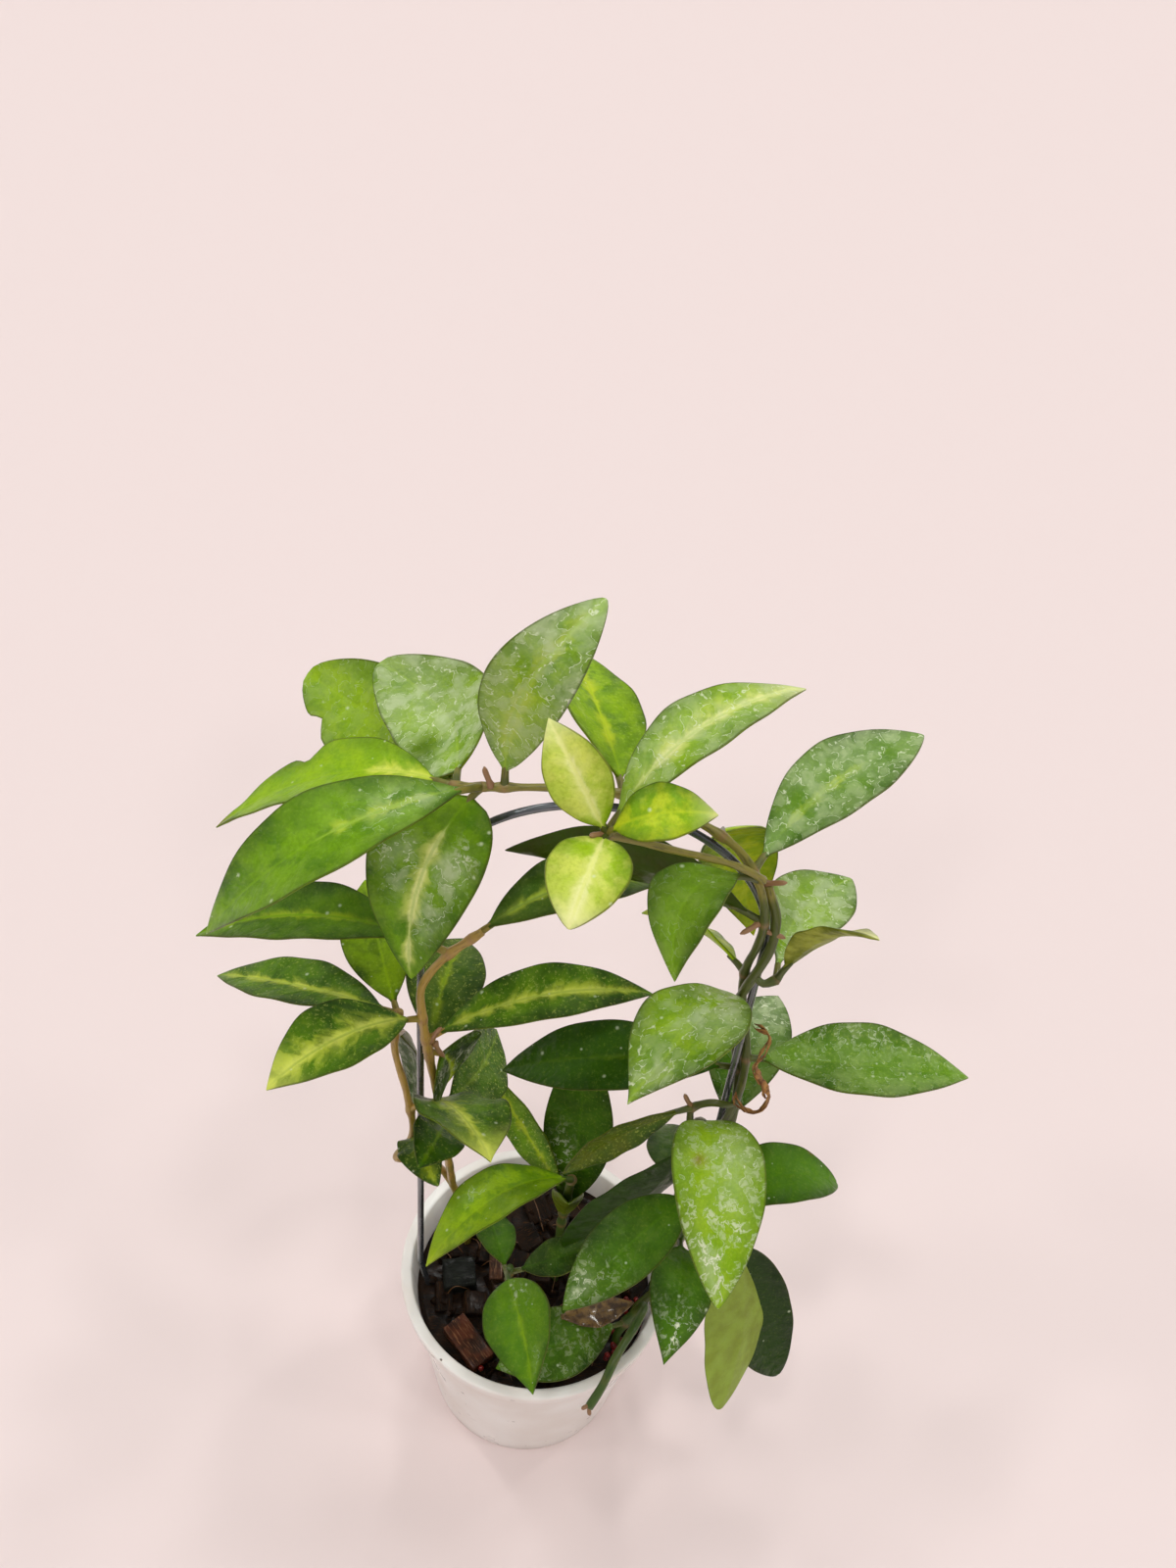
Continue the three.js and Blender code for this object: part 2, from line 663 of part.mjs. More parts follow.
// ---------- the shoots that stay low ----------
const centreStem = [...rooted(plantings.centre), [6, 0, 90], [7, -3, 116]];
const centreLeaves = [
  { root: [6, -1, 104], tip: [-20, 18, 134], wide: 12, arch: 0.03, bow: -0.03, roll: -53 },
  { root: [6, 0, 94], tip: [6, 28, 142], wide: 20, arch: 0.1, tilt: 60, bow: -0.06, roll: -15 },
  { root: [7, -3, 117], tip: [-28, -32, 115], wide: 20, arch: 0.23, bow: 0.06, roll: 35, petiole: 2 },
  { root: [6, 0, 88], tip: [7, -8, 112], wide: 12, arch: 0.05, cup: 0.7, tilt: -90 },
];
const frontStem = [...rooted(plantings.front), [-7, -16, 78], [-7, -18, 93]];
const frontLeaves = [
  { root: [-6, -18, 89], tip: [17, -10, 96], wide: 12, arch: 0.14, bow: -0.1, roll: -20 },
  { root: [-7, -17, 84], tip: [-16, 5, 82], wide: 12, arch: 0.07, bow: 0.03, roll: 20 },
  {
    root: [-6, -18, 90], tip: [3, -49, 86], wide: 21.5,
    arch: 0.18, lean: 0.6, bow: 0.12, roll: 34, skew: 0.72, blunt: 0.95,
  },
];
const lowRightStem = [
  ...rooted(plantings.lowRight),
  [28, -9, 80],
  [36, -11, 100],
  [40, -11, 116],
  [38, -11, 134],
  [33, -10, 149],
];
const lowBranch = branch([lowRightStem], [
  [39, -11, 112],
  [46, -11, 110],
  [53, -9, 105],
]);
const lowRightLeaves = [
  {
    root: [40, -11, 120], tip: [78, 0, 124], wide: 18,
    arch: 0.26, tilt: 6, bow: 0.01, roll: -4, skew: 1.07, blunt: 0.5,
  },
  {
    root: [38, -11, 130], tip: [8, -40, 116], wide: 18.5,
    arch: 0.12, bow: 0.01, roll: 8, skew: 0.85, blunt: 0.72,
  },
  {
    root: [33, -10, 149], tip: [7, -14, 100], wide: 26,
    arch: 0, tilt: 10, bow: -0.16, roll: 89, skew: 1.29, blunt: 0.64,
  },
  {
    root: [43, -12, 104], tip: [35, -46, 105], wide: 17,
    arch: 0.22, tilt: 40, roll: -5, skew: 0.87, blunt: 0.95,
  },
  {
    root: [52, -9, 105], tip: [55, -39, 67], wide: 25,
    arch: 0.02, bow: -0.16, roll: 142, skew: 0.87, blunt: 0.5,
  },
  {
    root: [53, -9, 105], tip: [74, -21, 53], wide: 22,
    arch: -0.01, tilt: 40, bow: -0.01, roll: -16, skew: 0.88, blunt: 0.55,
  },
];
const cutStemRoute = [
  ...rooted(plantings.cutStem),
  [30, -15, 70],
  [32, -17, 77],
  [29, -24, 78],
  [25, -31, 75],
  [22, -37, 69],
  [19, -41, 64],
];
const cutStemLeaves = [{ root: [26, -17, 66], tip: [-8, -32, 61], wide: 20, arch: 0.1 }];

function shoot(routes, leaves, radius = STEM_RADIUS) {
  const stems = routes.map((route) => stem(route, radius));
  return toGeometry(fuse([...stems, ...leafParts(leaves, routes)]));
}

// ---------- dried pieces ----------
const driedRoute = [
  [43.9, -4.5, 193],
  [47.5, -8, 194],
  [46.5, -11, 191],
  [45.5, -11, 185],
  [48.5, -11, 179],
  [50.5, -11, 173],
  [49.5, -11, 169],
  [46.5, -11, 168],
  [44, -11, 170],
  [42.5, -11, 175],
];
const fallenPlace = { root: [8, -21, 73.5], tip: [29, -15, 75] };
const fallenForm = { wide: 10, arch: -0.2, cup: 0.5, petiole: 1 };
const fallenLeaf = { ...LEAF, ...fallenPlace, ...fallenForm };

// ---------- materials ----------
const finish = (color, roughness) => new THREE.MeshStandardMaterial({ color, roughness, metalness: 0 });
const potPlastic = finish(0xf2f2ee, 0.35);
const coatedWire = finish(0x4a4d52, 0.3);
const barkMix = finish(0x2b1d14, 0.9);
const darkChunk = finish(0x24292a, 0.85);
const redBark = finish(0x6e3b24, 0.85);
const leafGreen = finish(0x3f7d1a, 0.3);
const leafDark = finish(0x2c6312, 0.3);
const leafPale = finish(0x8aa83a, 0.3);
const driedBrown = finish(0x7a4e2a, 0.8);

// ---------- the whole plant ----------
const plant = new THREE.Group();

function add(name, geometry, material) {
  const mesh = new THREE.Mesh(geometry, material);
  mesh.name = name;
  plant.add(mesh);
}

add("pot", pot(), potPlastic);
add("potting_mix", mix(), barkMix);
add("husk_chunk_square", chunkPiece(squareChunk), darkChunk);
add("husk_chip_red", chunkPiece(redChip), redBark);
add("husk_chip_thin", chunkPiece(thinChip), redBark);
add("wire_hoop", wireHoop(), coatedWire);
add("right_vine", rightVine(), leafGreen);
add("left_vine", leftVine(), leafPale);
add("centre_shoot", shoot([centreStem], centreLeaves), leafPale);
add("front_shoot", shoot([frontStem], frontLeaves, THIN_STEM), leafGreen);
add("low_right_shoot", shoot([lowRightStem, lowBranch], lowRightLeaves), leafDark);
add("cut_shoot", shoot([cutStemRoute], cutStemLeaves), leafDark);
add("dried_tendril", stem(driedRoute, DRIED_STEM, 5, 3), driedBrown);
add("fallen_leaf", blade(fallenLeaf), driedBrown);

export default plant;
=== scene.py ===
# A potted hoya: variegated vines trained round a wire hoop in a small white pot.
import math
from functools import partial

import bmesh
import bpy
import numpy as np
from mathutils import Matrix, Vector, noise


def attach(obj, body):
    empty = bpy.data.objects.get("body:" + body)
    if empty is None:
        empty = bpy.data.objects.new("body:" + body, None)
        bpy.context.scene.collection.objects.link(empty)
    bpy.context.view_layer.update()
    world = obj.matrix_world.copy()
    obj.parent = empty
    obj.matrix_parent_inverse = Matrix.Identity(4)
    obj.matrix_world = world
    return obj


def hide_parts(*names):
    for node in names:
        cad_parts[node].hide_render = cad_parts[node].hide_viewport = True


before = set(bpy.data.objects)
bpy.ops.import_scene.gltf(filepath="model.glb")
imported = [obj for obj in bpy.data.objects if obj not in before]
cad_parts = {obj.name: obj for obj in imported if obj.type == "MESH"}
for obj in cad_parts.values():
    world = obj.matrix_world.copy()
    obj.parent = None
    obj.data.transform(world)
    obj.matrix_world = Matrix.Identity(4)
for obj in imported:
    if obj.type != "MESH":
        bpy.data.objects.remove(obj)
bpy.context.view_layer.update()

# Small tools. All lengths are in mm until a mesh is made.


def linearColour(hexCode):
    channels = [int(hexCode[i:i + 2], 16) / 255 for i in (1, 3, 5)]
    return [c / 12.92 if c <= 0.04045 else ((c + 0.055) / 1.055) ** 2.4 for c in channels] + [1.0]


def feed(node, inputs):
    # a value or hex colour is set on the input, and another node's output is linked to it
    for key, value in inputs.items():
        if isinstance(value, bpy.types.NodeSocket):
            node.id_data.links.new(value, node.inputs[key])
        else:
            node.inputs[key].default_value = linearColour(value) if isinstance(value, str) else value


colourMix = dict(kind="Mix", order=(0, 6, 7), out=2, data_type="RGBA")
# ease takes a value, the low and high that it runs between, and what they become
nodeUses = dict(
    mix=colourMix, tint={**colourMix, "blend_type": "MULTIPLY"},
    ease=dict(kind="MapRange", interpolation_type="SMOOTHSTEP"),
    plus=dict(kind="Math", operation="ADD"), minus=dict(kind="Math", operation="SUBTRACT"),
    times=dict(kind="Math", operation="MULTIPLY"), over=dict(kind="Math", operation="DIVIDE"),
    least=dict(kind="Math", operation="MINIMUM"), size=dict(kind="Math", operation="ABSOLUTE"),
    below=dict(kind="Math", operation="LESS_THAN"),
)


def addNode(tree, use, *values, **named):
    # values go to the inputs in turn; a name with a capital is an input too, any other is a setting
    named = {"kind": use, "order": range(len(values)), "out": 0, **nodeUses.get(use, {}), **named}
    node = tree.nodes.new("ShaderNode" + named.pop("kind"))
    inputs, out = dict(zip(named.pop("order"), values)), named.pop("out")
    for key, value in named.items():
        if key[0].isupper():
            inputs[key] = value
        else:
            setattr(node, key, value)
    feed(node, inputs)
    return node.outputs[out]


def newMaterial(name, **shader):
    material = bpy.data.materials.new(name)
    material.use_nodes = True
    surface = material.node_tree.nodes["Principled BSDF"]
    feed(surface, {key.replace("_", " "): value for key, value in shader.items()})
    return material, partial(addNode, material.node_tree), surface


def addObject(name, data):
    thing = bpy.data.objects.new(name, data)
    bpy.context.scene.collection.objects.link(thing)
    return thing


def ringFaces(rings, sides, closed=False):
    faces = []
    for i in range(rings if closed else rings - 1):
        j = (i + 1) % rings
        for k in range(sides):
            m = (k + 1) % sides
            faces.append([i * sides + k, i * sides + m, j * sides + m, j * sides + k])
    return faces


def joinParts(parts):
    points = np.concatenate([part["points"] for part in parts])
    faces, start = [], 0
    for part in parts:
        faces += [[start + i for i in face] for face in part["faces"]]
        start += len(part["points"])
    marks = {key: np.concatenate([part["marks"][key] for part in parts]) for key in parts[0]["marks"]}
    return dict(points=points, faces=faces, marks=marks)


markKinds = {1: ("FLOAT", "value"), 3: ("FLOAT_VECTOR", "vector"), 4: ("FLOAT_COLOR", "color")}


def addPiece(name, part, material, node):
    mesh = bpy.data.meshes.new(name)
    mesh.from_pydata((np.asarray(part["points"]) / 1000).tolist(), [], part["faces"])
    for key, values in part["marks"].items():
        values = np.asarray(values, np.float32)
        kind, field = markKinds[values.size // len(values)]
        mesh.attributes.new(key, kind, "POINT").data.foreach_set(field, values.ravel())
    work = bmesh.new()
    work.from_mesh(mesh)
    bmesh.ops.recalc_face_normals(work, faces=work.faces)
    work.to_mesh(mesh)
    work.free()
    mesh.polygons.foreach_set("use_smooth", [True] * len(mesh.polygons))
    mesh.materials.append(material)
    piece = addObject(name, mesh)
    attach(piece, "root")
    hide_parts(node)
    return piece


def unit(v):
    return v / np.maximum(np.linalg.norm(v, axis=-1, keepdims=True), 1e-9)


def smoothCurve(points, step=1.5):
    # centripetal Catmull-Rom through the points, the same curve as the solids follow
    p = np.asarray(points, float)
    p = np.vstack([2 * p[0] - p[1], p, 2 * p[-1] - p[-2]])
    out = []
    for i in range(1, len(p) - 2):
        p0, p1, p2, p3 = p[i - 1:i + 3]
        t0, t1, t2 = (max(np.linalg.norm(b - a) ** 0.5, 1e-3) for a, b in ((p0, p1), (p1, p2), (p2, p3)))
        m1 = ((p1 - p0) / t0 - (p2 - p0) / (t0 + t1) + (p2 - p1) / t1) * t1
        m2 = ((p2 - p1) / t1 - (p3 - p1) / (t1 + t2) + (p3 - p2) / t2) * t1
        count = max(2, int(round(np.linalg.norm(p2 - p1) / step)))
        square, cube = 3 * (p2 - p1) - 2 * m1 - m2, 2 * (p1 - p2) + m1 + m2
        for k in np.arange(count)[:, None] / count:
            out.append(p1 + m1 * k + square * k ** 2 + cube * k ** 3)
    out.append(p[-2])
    return np.array(out)


def tubePart(line, radius, sides=12, seed=0.0, flat=1.0, knot=0.0, woodAndLight=0.0):
    # a round tube along a line; flat below 1 squeezes it in one direction
    line = np.asarray(line, float)
    count = len(line)
    radius = np.broadcast_to(np.asarray(radius, float), count)
    ahead = unit(np.gradient(line, axis=0))
    side = unit(np.cross(ahead[0], [0.3, 0.9, 0.2]))
    run = np.concatenate([[0], np.cumsum(np.linalg.norm(np.diff(line, axis=0), axis=1))])
    points, places = [], []
    for i in range(count):
        side = unit(side - ahead[i] * (side @ ahead[i]))
        other = np.cross(ahead[i], side)
        for angle in np.arange(sides) * 2 * math.pi / sides:
            points.append(line[i] + radius[i] * (math.cos(angle) * side + flat * math.sin(angle) * other))
            places.append([math.cos(angle) * radius[i], run[i], math.sin(angle) * radius[i] + seed])
    faces = [list(range(sides))[::-1], [(count - 1) * sides + k for k in range(sides)]]
    marks = dict(place=np.array(places))
    for key, values in (("knot", knot), ("woodAndLight", woodAndLight)):
        marks[key] = np.repeat(np.broadcast_to(np.asarray(values, float), count), sides)
    return dict(points=np.array(points), faces=faces + ringFaces(count, sides), marks=marks)


# The camera stands at the height and tilt that the photograph was taken from.
view = dict(place=(-0.5, -204.5, 446.9), down=42.6, lean=6.4, lens=31.5, sensor=36)


def addCamera():
    down, lean = math.radians(view["down"]), math.radians(view["lean"])
    ahead = Vector((0, math.cos(down), -math.sin(down)))
    right = Vector((1, 0, 0))
    up = right.cross(ahead)
    tilted = [right * math.cos(lean) + up * math.sin(lean), up * math.cos(lean) - right * math.sin(lean)]
    data = bpy.data.cameras.new("camera")
    data.lens = view["lens"]
    data.sensor_width = view["sensor"]
    camera = addObject("camera", data)
    turn = Matrix((tilted[0], tilted[1], -ahead)).transposed().to_4x4()
    camera.matrix_world = Matrix.Translation(Vector(view["place"]) / 1000) @ turn
    bpy.context.scene.camera = camera


addCamera()
bpy.context.scene.view_settings.view_transform = "Standard"

# The path of the wire hoop, as x and z of its bends, and how the stems twine round its right leg.
hoop = dict(y=-4, x=4, radius=38, spring=219, wire=0.9, sides=16, step=2, archStep=3,
            right=[(28.5, 26), (32, 53), (34.5, 64), (42, 150), (42, 219)],
            left=[(-34, 219), (-34, 64), (-32, 53), (-28.5, 26)])
twist = dict(out=2.9, rate=4.6, end=226, apart=60)
stemHeights = (42, 52, 60)  # the cut end in the mix, the top of the mix, and the first bend


def hoopAt(run):
    for (x0, z0), (x1, z1) in zip(hoop["right"], hoop["right"][1:]):
        length = math.hypot(x1 - x0, z1 - z0)
        if run <= length:
            k = run / length
            place = np.array([x0 + k * (x1 - x0), hoop["y"], z0 + k * (z1 - z0)])
            return place, np.array([(z1 - z0) / length, 0, -(x1 - x0) / length])
        run -= length
    angle = run / hoop["radius"]
    outward = np.array([math.cos(angle), 0, math.sin(angle)])
    return np.array([hoop["x"], hoop["y"], hoop["spring"]]) + outward * hoop["radius"], outward


def beside(run, turn):
    # turn 0 is outside the hoop, 90 in front of it
    place, outward = hoopAt(run)
    place = place + outward * twist["out"] * math.cos(math.radians(turn))
    place[1] -= twist["out"] * math.sin(math.radians(turn))
    return place.tolist()


def twine(start, end, lag, step=7):
    runs = range(start, end + 1, step)
    return [beside(run, twist["rate"] * max(0, twist["end"] - run) - lag) for run in runs]


def rooted(x, y):
    return [[x, y, z] for z in stemHeights]


def nearestOn(routes, place):
    lines = np.concatenate([smoothCurve(route, 1.0) for route in routes])
    return lines[np.argmin(np.linalg.norm(lines - np.asarray(place, float), axis=1))].tolist()


def branch(routes, route):
    return [nearestOn(routes, route[0])] + route[1:]


# A leaf starts at root, on its stem, and ends at tip. Its middle line rises by arch, bends to its
# left by bow, and its upper side is turned by tilt and roll. The look says how it is coloured: reach is
# how many mm the pale flare spreads from the midrib, and span the part of the length that it covers.
# A spot is the mask it adds to, its place along and across, its size in both ways, and how strong it is.
# A bite is its place along the edge, which edge, how deep and how long.
leafForm = dict(wide=22, arch=0.1, lean=1, bow=0, tilt=15, roll=0, cup=0.2, petiole=4, skew=0.97, blunt=0.86)
# The look also paints light: a pale sheen of the water, bright glints, and a pale highlight on each bead.
leafLook = dict(ground="mid", light="fresh", flare="cream", reach=0, span=(0, 1), mottle=0.3, fleck=0.1,
                paintedSheen=0.15, paintedGlints=0, drops=0.05, tipPale=0, back="olive", spots=(), bites=(), wave=0.25)
leafTones = ("ground", "light", "flare", "back")
leafMasks = ("mottle", "fleck", "paintedSheen", "paintedGlints", "drops")
greens = dict(
    deep="#213d00", dark="#355c00", mid="#4f7f00", leafy="#689500", fresh="#7eab02", lime="#9dc208",
    yellow="#c6d422", pale="#e0e568", cream="#f8f6b0", grey="#5d7620", olive="#60690e", haze="#a3bf50",
    dusk="#3a4506", sage="#828f34",
)
blade = dict(thick=0.9, foot=0.7, rows=36, tipRows=8, tipAt=0.88, end=0.995, grooveDepth=0.16,
             grooveWidth=0.8, ridge=0.35)
lanes = np.array([0.04, 0.1, 0.22, 0.4, 0.6, 0.8, 0.93, 0.985, 1])  # points across half a blade
lanes = np.concatenate([-lanes[::-1], [0], lanes])


def leafFrame(leaf):
    root = np.array(leaf["root"], float)
    along = np.array(leaf["tip"], float) - root
    length = np.linalg.norm(along)
    along /= length
    tilt, roll = math.radians(leaf["tilt"]), math.radians(leaf["roll"])
    up = np.array([0, -math.sin(tilt), math.cos(tilt)])
    up = unit(up - along * (up @ along))
    up = up * math.cos(roll) + np.cross(along, up) * math.sin(roll)
    return root, along, up, np.cross(along, up), length


def midline(leaf, axes, t):
    root, along, up, side, length = axes
    t = np.asarray(t, float)[..., None]
    crest = leaf["lean"] / (leaf["lean"] + 1)
    rise = leaf["arch"] * np.maximum(t, 0) ** leaf["lean"] * (1 - t) / (crest ** leaf["lean"] * (1 - crest))
    return root + length * (along * t - side * leaf["bow"] * 4 * t * (1 - t) + up * rise)


def leafReach(leaf, s, u):
    # half the width at s, with any bite out of the edge
    half = leaf["wide"] / 2 * np.sin(math.pi * s ** leaf["skew"]) ** leaf["blunt"] * (1 - 0.25 * s ** 8)
    for at, edge, depth, size in leaf["bites"]:
        half = half * (1 - depth * np.exp(-((s - at) / size) ** 2) * (np.sign(u) == edge))
    return np.maximum(half, blade["foot"] * np.minimum(1, (1 - s) * 12))


def leafPoints(leaf, axes, s, u):
    side, length = axes[3:]
    start = leaf["petiole"] / length
    t = start + (1 - start) * s
    ahead = unit(midline(leaf, axes, t + 0.01) - midline(leaf, axes, t - 0.01))
    half = leafReach(leaf, s, u)
    cup = leaf["cup"]
    wave = leaf["wave"] * np.sin(s * 23 + leaf["seed"] * 1.7 + np.sign(u))
    lift = cup * half * np.abs(u) * (0.4 + 0.6 * np.abs(u)) + wave * np.abs(u) ** 3 * np.sin(math.pi * s)
    sideways = u * half * np.sqrt(1 - cup * cup * u * u)
    place = midline(leaf, axes, t) + side * sideways[..., None] + np.cross(side, ahead) * lift[..., None]
    return place, u * half


def bladePart(leaf):
    axes = leafFrame(leaf)
    rows = np.concatenate([np.linspace(0, blade["tipAt"], blade["rows"], endpoint=False),
                           np.linspace(blade["tipAt"], blade["end"], blade["tipRows"])])
    s, u = np.meshgrid(rows, lanes, indexing="ij")
    sheet, across = leafPoints(leaf, axes, s, u)
    normal = unit(np.cross(np.gradient(sheet, lanes, axis=1), np.gradient(sheet, rows, axis=0)))
    half = blade["thick"] / 2 * (1 - 0.62 * np.abs(u) ** 6) * np.minimum(1, 0.35 + (1 - s) * 9)
    middle = np.exp(-(across / blade["grooveWidth"]) ** 2) * np.sin(math.pi * np.clip(s, 0.02, 0.95))
    top = sheet + normal * (half - blade["grooveDepth"] * middle)[..., None]
    under = sheet - normal * (half + blade["ridge"] * middle * (1 - s))[..., None]
    ring = np.concatenate([top, under[:, ::-1]], axis=1)
    tip = leafPoints(leaf, axes, np.array([1.0]), np.array([0.0]))[0]
    points = np.concatenate([ring.reshape(-1, 3), tip])
    count, size = len(rows), 2 * len(lanes)
    last = (count - 1) * size
    faces = ringFaces(count, size)
    faces += [[last + k, last + (k + 1) % size, count * size] for k in range(size)] + [list(range(size))]
    both = [np.concatenate(pair, axis=1) for pair in (
        (s, s), (u, u[:, ::-1]), (across, across[:, ::-1]), (np.zeros_like(u), np.ones_like(u)))]
    flat = [np.append(values.ravel(), end) for values, end in zip(both, (1, 0, 0, 0))]
    return dict(points=points, faces=faces, marks=leafMarks(leaf, axes[4], *flat))


def leafMarks(leaf, length, s, u, x, below):
    # what the leaf material reads at each point
    n = len(s)
    tones = {key: np.tile(linearColour(greens[leaf[key]]), (n, 1)) for key in leafTones}
    start, end = leaf["span"]
    fade = np.clip((s - start) / 0.15 + 0.3, 0, 1) * np.clip((end - s) / 0.15 + 0.3, 0, 1)
    masks = {key: np.full(n, leaf[key], float) for key in leafMasks}
    masks.update(
        reach=leaf["reach"] * fade * (0.55 + 0.45 * np.sin(math.pi * np.clip(s, 0, 1))) + 0.001,
        pale=leaf["tipPale"] * np.clip((s - 0.72) / 0.25, 0, 1) ** 1.5,
        dark=np.zeros(n), brown=np.zeros(n),
    )
    for kind, atS, atU, sizeS, sizeU, amount in leaf["spots"]:
        masks[kind] = masks[kind] + amount * np.exp(-((s - atS) / sizeS) ** 2 - ((u - atU) / sizeU) ** 2)
    place = np.stack([x, s * length, np.full(n, leaf["seed"] * 7.3)], axis=1)
    return dict(place=place, edge=np.abs(u), under=below, **tones, **masks)


stalk = dict(reach=0.07, rows=9, sides=10, sizes=([0, 0.25, 0.6, 1], [1.05, 0.85, 0.75, 0.3]),
             sunk=([0, 0.55, 1], [0, 0.1, 0.75]), pink=([0, 0.3], [0.4, 0]))


def stalkPart(leaf):
    axes = leafFrame(leaf)
    share = np.linspace(0, 1, stalk["rows"])
    line = midline(leaf, axes, share * (leaf["petiole"] / axes[4] + stalk["reach"]))
    line = line - axes[2] * np.interp(share, *stalk["sunk"])[:, None]
    return tubePart(line, np.interp(share, *stalk["sizes"]), stalk["sides"], leaf["seed"],
                    knot=np.interp(share, *stalk["pink"]), woodAndLight=0.5)


def growLeaves(given, routes, seed):
    blades, stalks = [], []
    for number, item in enumerate(given):
        leaf = {**leafForm, **leafLook, **item, "seed": seed + number}
        leaf["root"] = nearestOn(routes, leaf["root"])
        blades.append(bladePart(leaf))
        stalks.append(stalkPart(leaf))
    return joinParts(blades), stalks


# Hoya leaf: a thick waxy skin under a thin coat of water, so it is satin with sharp wet highlights; the sheen
# of the water, its glints and the shine of the beads are painted highlights in the colour.
# Pattern sizes in mm: blotches 5, side veins 4, flecks 0.7, painted sheen patches 3 to 9, beads 1.
def waxyLeaf():
    material, add, surface = newMaterial("waxyHoyaLeaf", IOR=1.4, Specular_IOR_Level=0.08, Coat_Weight=0.26,
                                         Coat_Roughness=0.05, Coat_IOR=1.5)
    read = {key: add("Attribute", attribute_name=key, out="Fac") for key in leafMasks + (
        "edge", "under", "reach", "pale", "dark", "brown")}
    read.update({key: add("Attribute", attribute_name=key, out="Color") for key in leafTones})
    place = add("Attribute", attribute_name="place", out="Vector")
    x, y, z = add("SeparateXYZ", place).node.outputs
    away = add("size", x)
    drift = add("TexNoise", Vector=place, Scale=0.35, Detail=3.0, out=1)
    drift = add("VectorMath", drift, (0.5, 0.5, 0.5), operation="SUBTRACT")
    drift = add("VectorMath", drift, (3.0, 3.0, 3.0), operation="MULTIPLY")
    warped = add("VectorMath", place, drift, operation="ADD")
    bentY = add("SeparateXYZ", warped, out=1)
    slanted = add("minus", bentY, add("times", away, 0.8))  # along the side veins
    veinPlace = add("CombineXYZ", add("times", x, 0.5), slanted, z)
    blotch = add("TexNoise", Vector=place, Scale=0.2, Detail=5.0, Roughness=0.6)
    feather = add("TexNoise", Vector=veinPlace, Scale=0.24, Detail=3.0, Roughness=0.55, Distortion=0.3)
    fine = add("TexNoise", Vector=place, Scale=1.35, Detail=3.0, Roughness=0.65)
    broad = add("TexNoise", Vector=place, Scale=0.07, Detail=2.0)
    runny = add("TexNoise", Vector=warped, Scale=0.33, Detail=1.0, Roughness=0.4)
    spray = add("TexNoise", Vector=warped, Scale=0.95, Detail=1.5, Distortion=0.6)
    veil = add("TexNoise", Vector=place, Scale=0.11, Detail=1.0)

    tone = add("mix", add("ease", broad, 0.35, 0.68, 0.0, 0.55), read["ground"], read["light"])
    tone = add("mix", add("times", add("ease", blotch, 0.43, 0.6), read["mottle"]), tone, read["light"])
    tone = add("mix", add("times", add("ease", feather, 0.4, 0.7), 0.2), tone, read["light"])
    tone = add("tint", add("ease", fine, 0.3, 0.6, 0.35, 0.0), tone, "#b4c07c")
    # painted shade: the blade darkens towards its edges
    paintedEdgeShade = add("times", add("ease", read["edge"], 0.35, 1.0), add("ease", broad, 0.3, 0.7, 1.0, 0.3))
    tone = add("tint", paintedEdgeShade, tone, "#a9b67c")

    # the pale flare: a cream core on the midrib, and a yellow halo that runs out along the side veins
    spread = add("plus", add("times", add("ease", feather, 0.34, 0.66), 0.8), 0.3)
    ratio = add("over", away, add("times", read["reach"], spread))
    shown = add("ease", read["reach"], 0.2, 0.9)
    halo = add("times", add("ease", ratio, 0.0, 3.2, 0.8, 0.0), shown)
    halo = add("times", halo, add("ease", blotch, 0.4, 0.56, 0.4, 1.1))
    tone = add("mix", halo, tone, add("mix", 0.4, greens["yellow"], read["flare"]))
    core = add("times", add("ease", ratio, 0.0, 1.1, 0.9, 0.0), shown)
    core = add("times", core, add("ease", fine, 0.3, 0.6, 0.7, 1.0))
    tone = add("mix", core, tone, read["flare"])
    rib = add("times", add("ease", away, 0.1, 0.6, 1.0, 0.0), 0.45)
    tone = add("mix", rib, tone, read["light"])
    paleTip = add("times", read["pale"], add("ease", blotch, 0.3, 0.55, 0.6, 1.0))
    tone = add("mix", paleTip, tone, read["flare"])
    tone = add("mix", add("times", add("ease", fine, 0.57, 0.66), read["fleck"]), tone, "#b9c45a")
    tone = add("mix", read["dark"], tone, "#1b3203")

    # painted sheen of the water: a soft pale veil and pale patches, and painted highlights as thin bright
    # lines where the edge of a patch stands up
    patch = add("plus", add("ease", runny, 0.44, 0.68, 0.0, 0.6), add("ease", veil, 0.3, 0.65, 0.05, 0.45))
    patch = add("plus", patch, add("ease", spray, 0.5, 0.7, 0.0, 0.3))
    paintedSheen = read["paintedSheen"]
    paintedSheenTone = add("mix", add("ease", paintedSheen, 0.15, 0.6), "#9cb54e", "#c6d4a4")
    tone = add("mix", add("least", add("times", patch, paintedSheen), 0.8), tone, paintedSheenTone)
    # painted highlight: a thin bright line along the edge of each patch, which is also a ridge in the bump
    shore = add("ease", add("size", add("minus", runny, 0.5)), 0.002, 0.018, 1.0, 0.0)
    shore = add("times", shore, add("ease", spray, 0.4, 0.52))
    ridgeAndGlintLine = add("times", shore, add("ease", paintedSheen, 0.12, 0.6, 0.0, 0.8))
    tone = add("mix", ridgeAndGlintLine, tone, "#e6edcb")
    # painted glints: bright cream flecks and lines that stand in for wet highlights
    glint = add("times", add("ease", spray, 0.49, 0.56), add("ease", runny, 0.49, 0.58))
    glint = add("plus", glint, add("times", shore, 0.75))
    glint = add("times", glint, add("ease", veil, 0.34, 0.52, 0.35, 1.15))
    tone = add("mix", add("times", add("least", glint, 0.95), read["paintedGlints"]), tone, "#eff0d6")

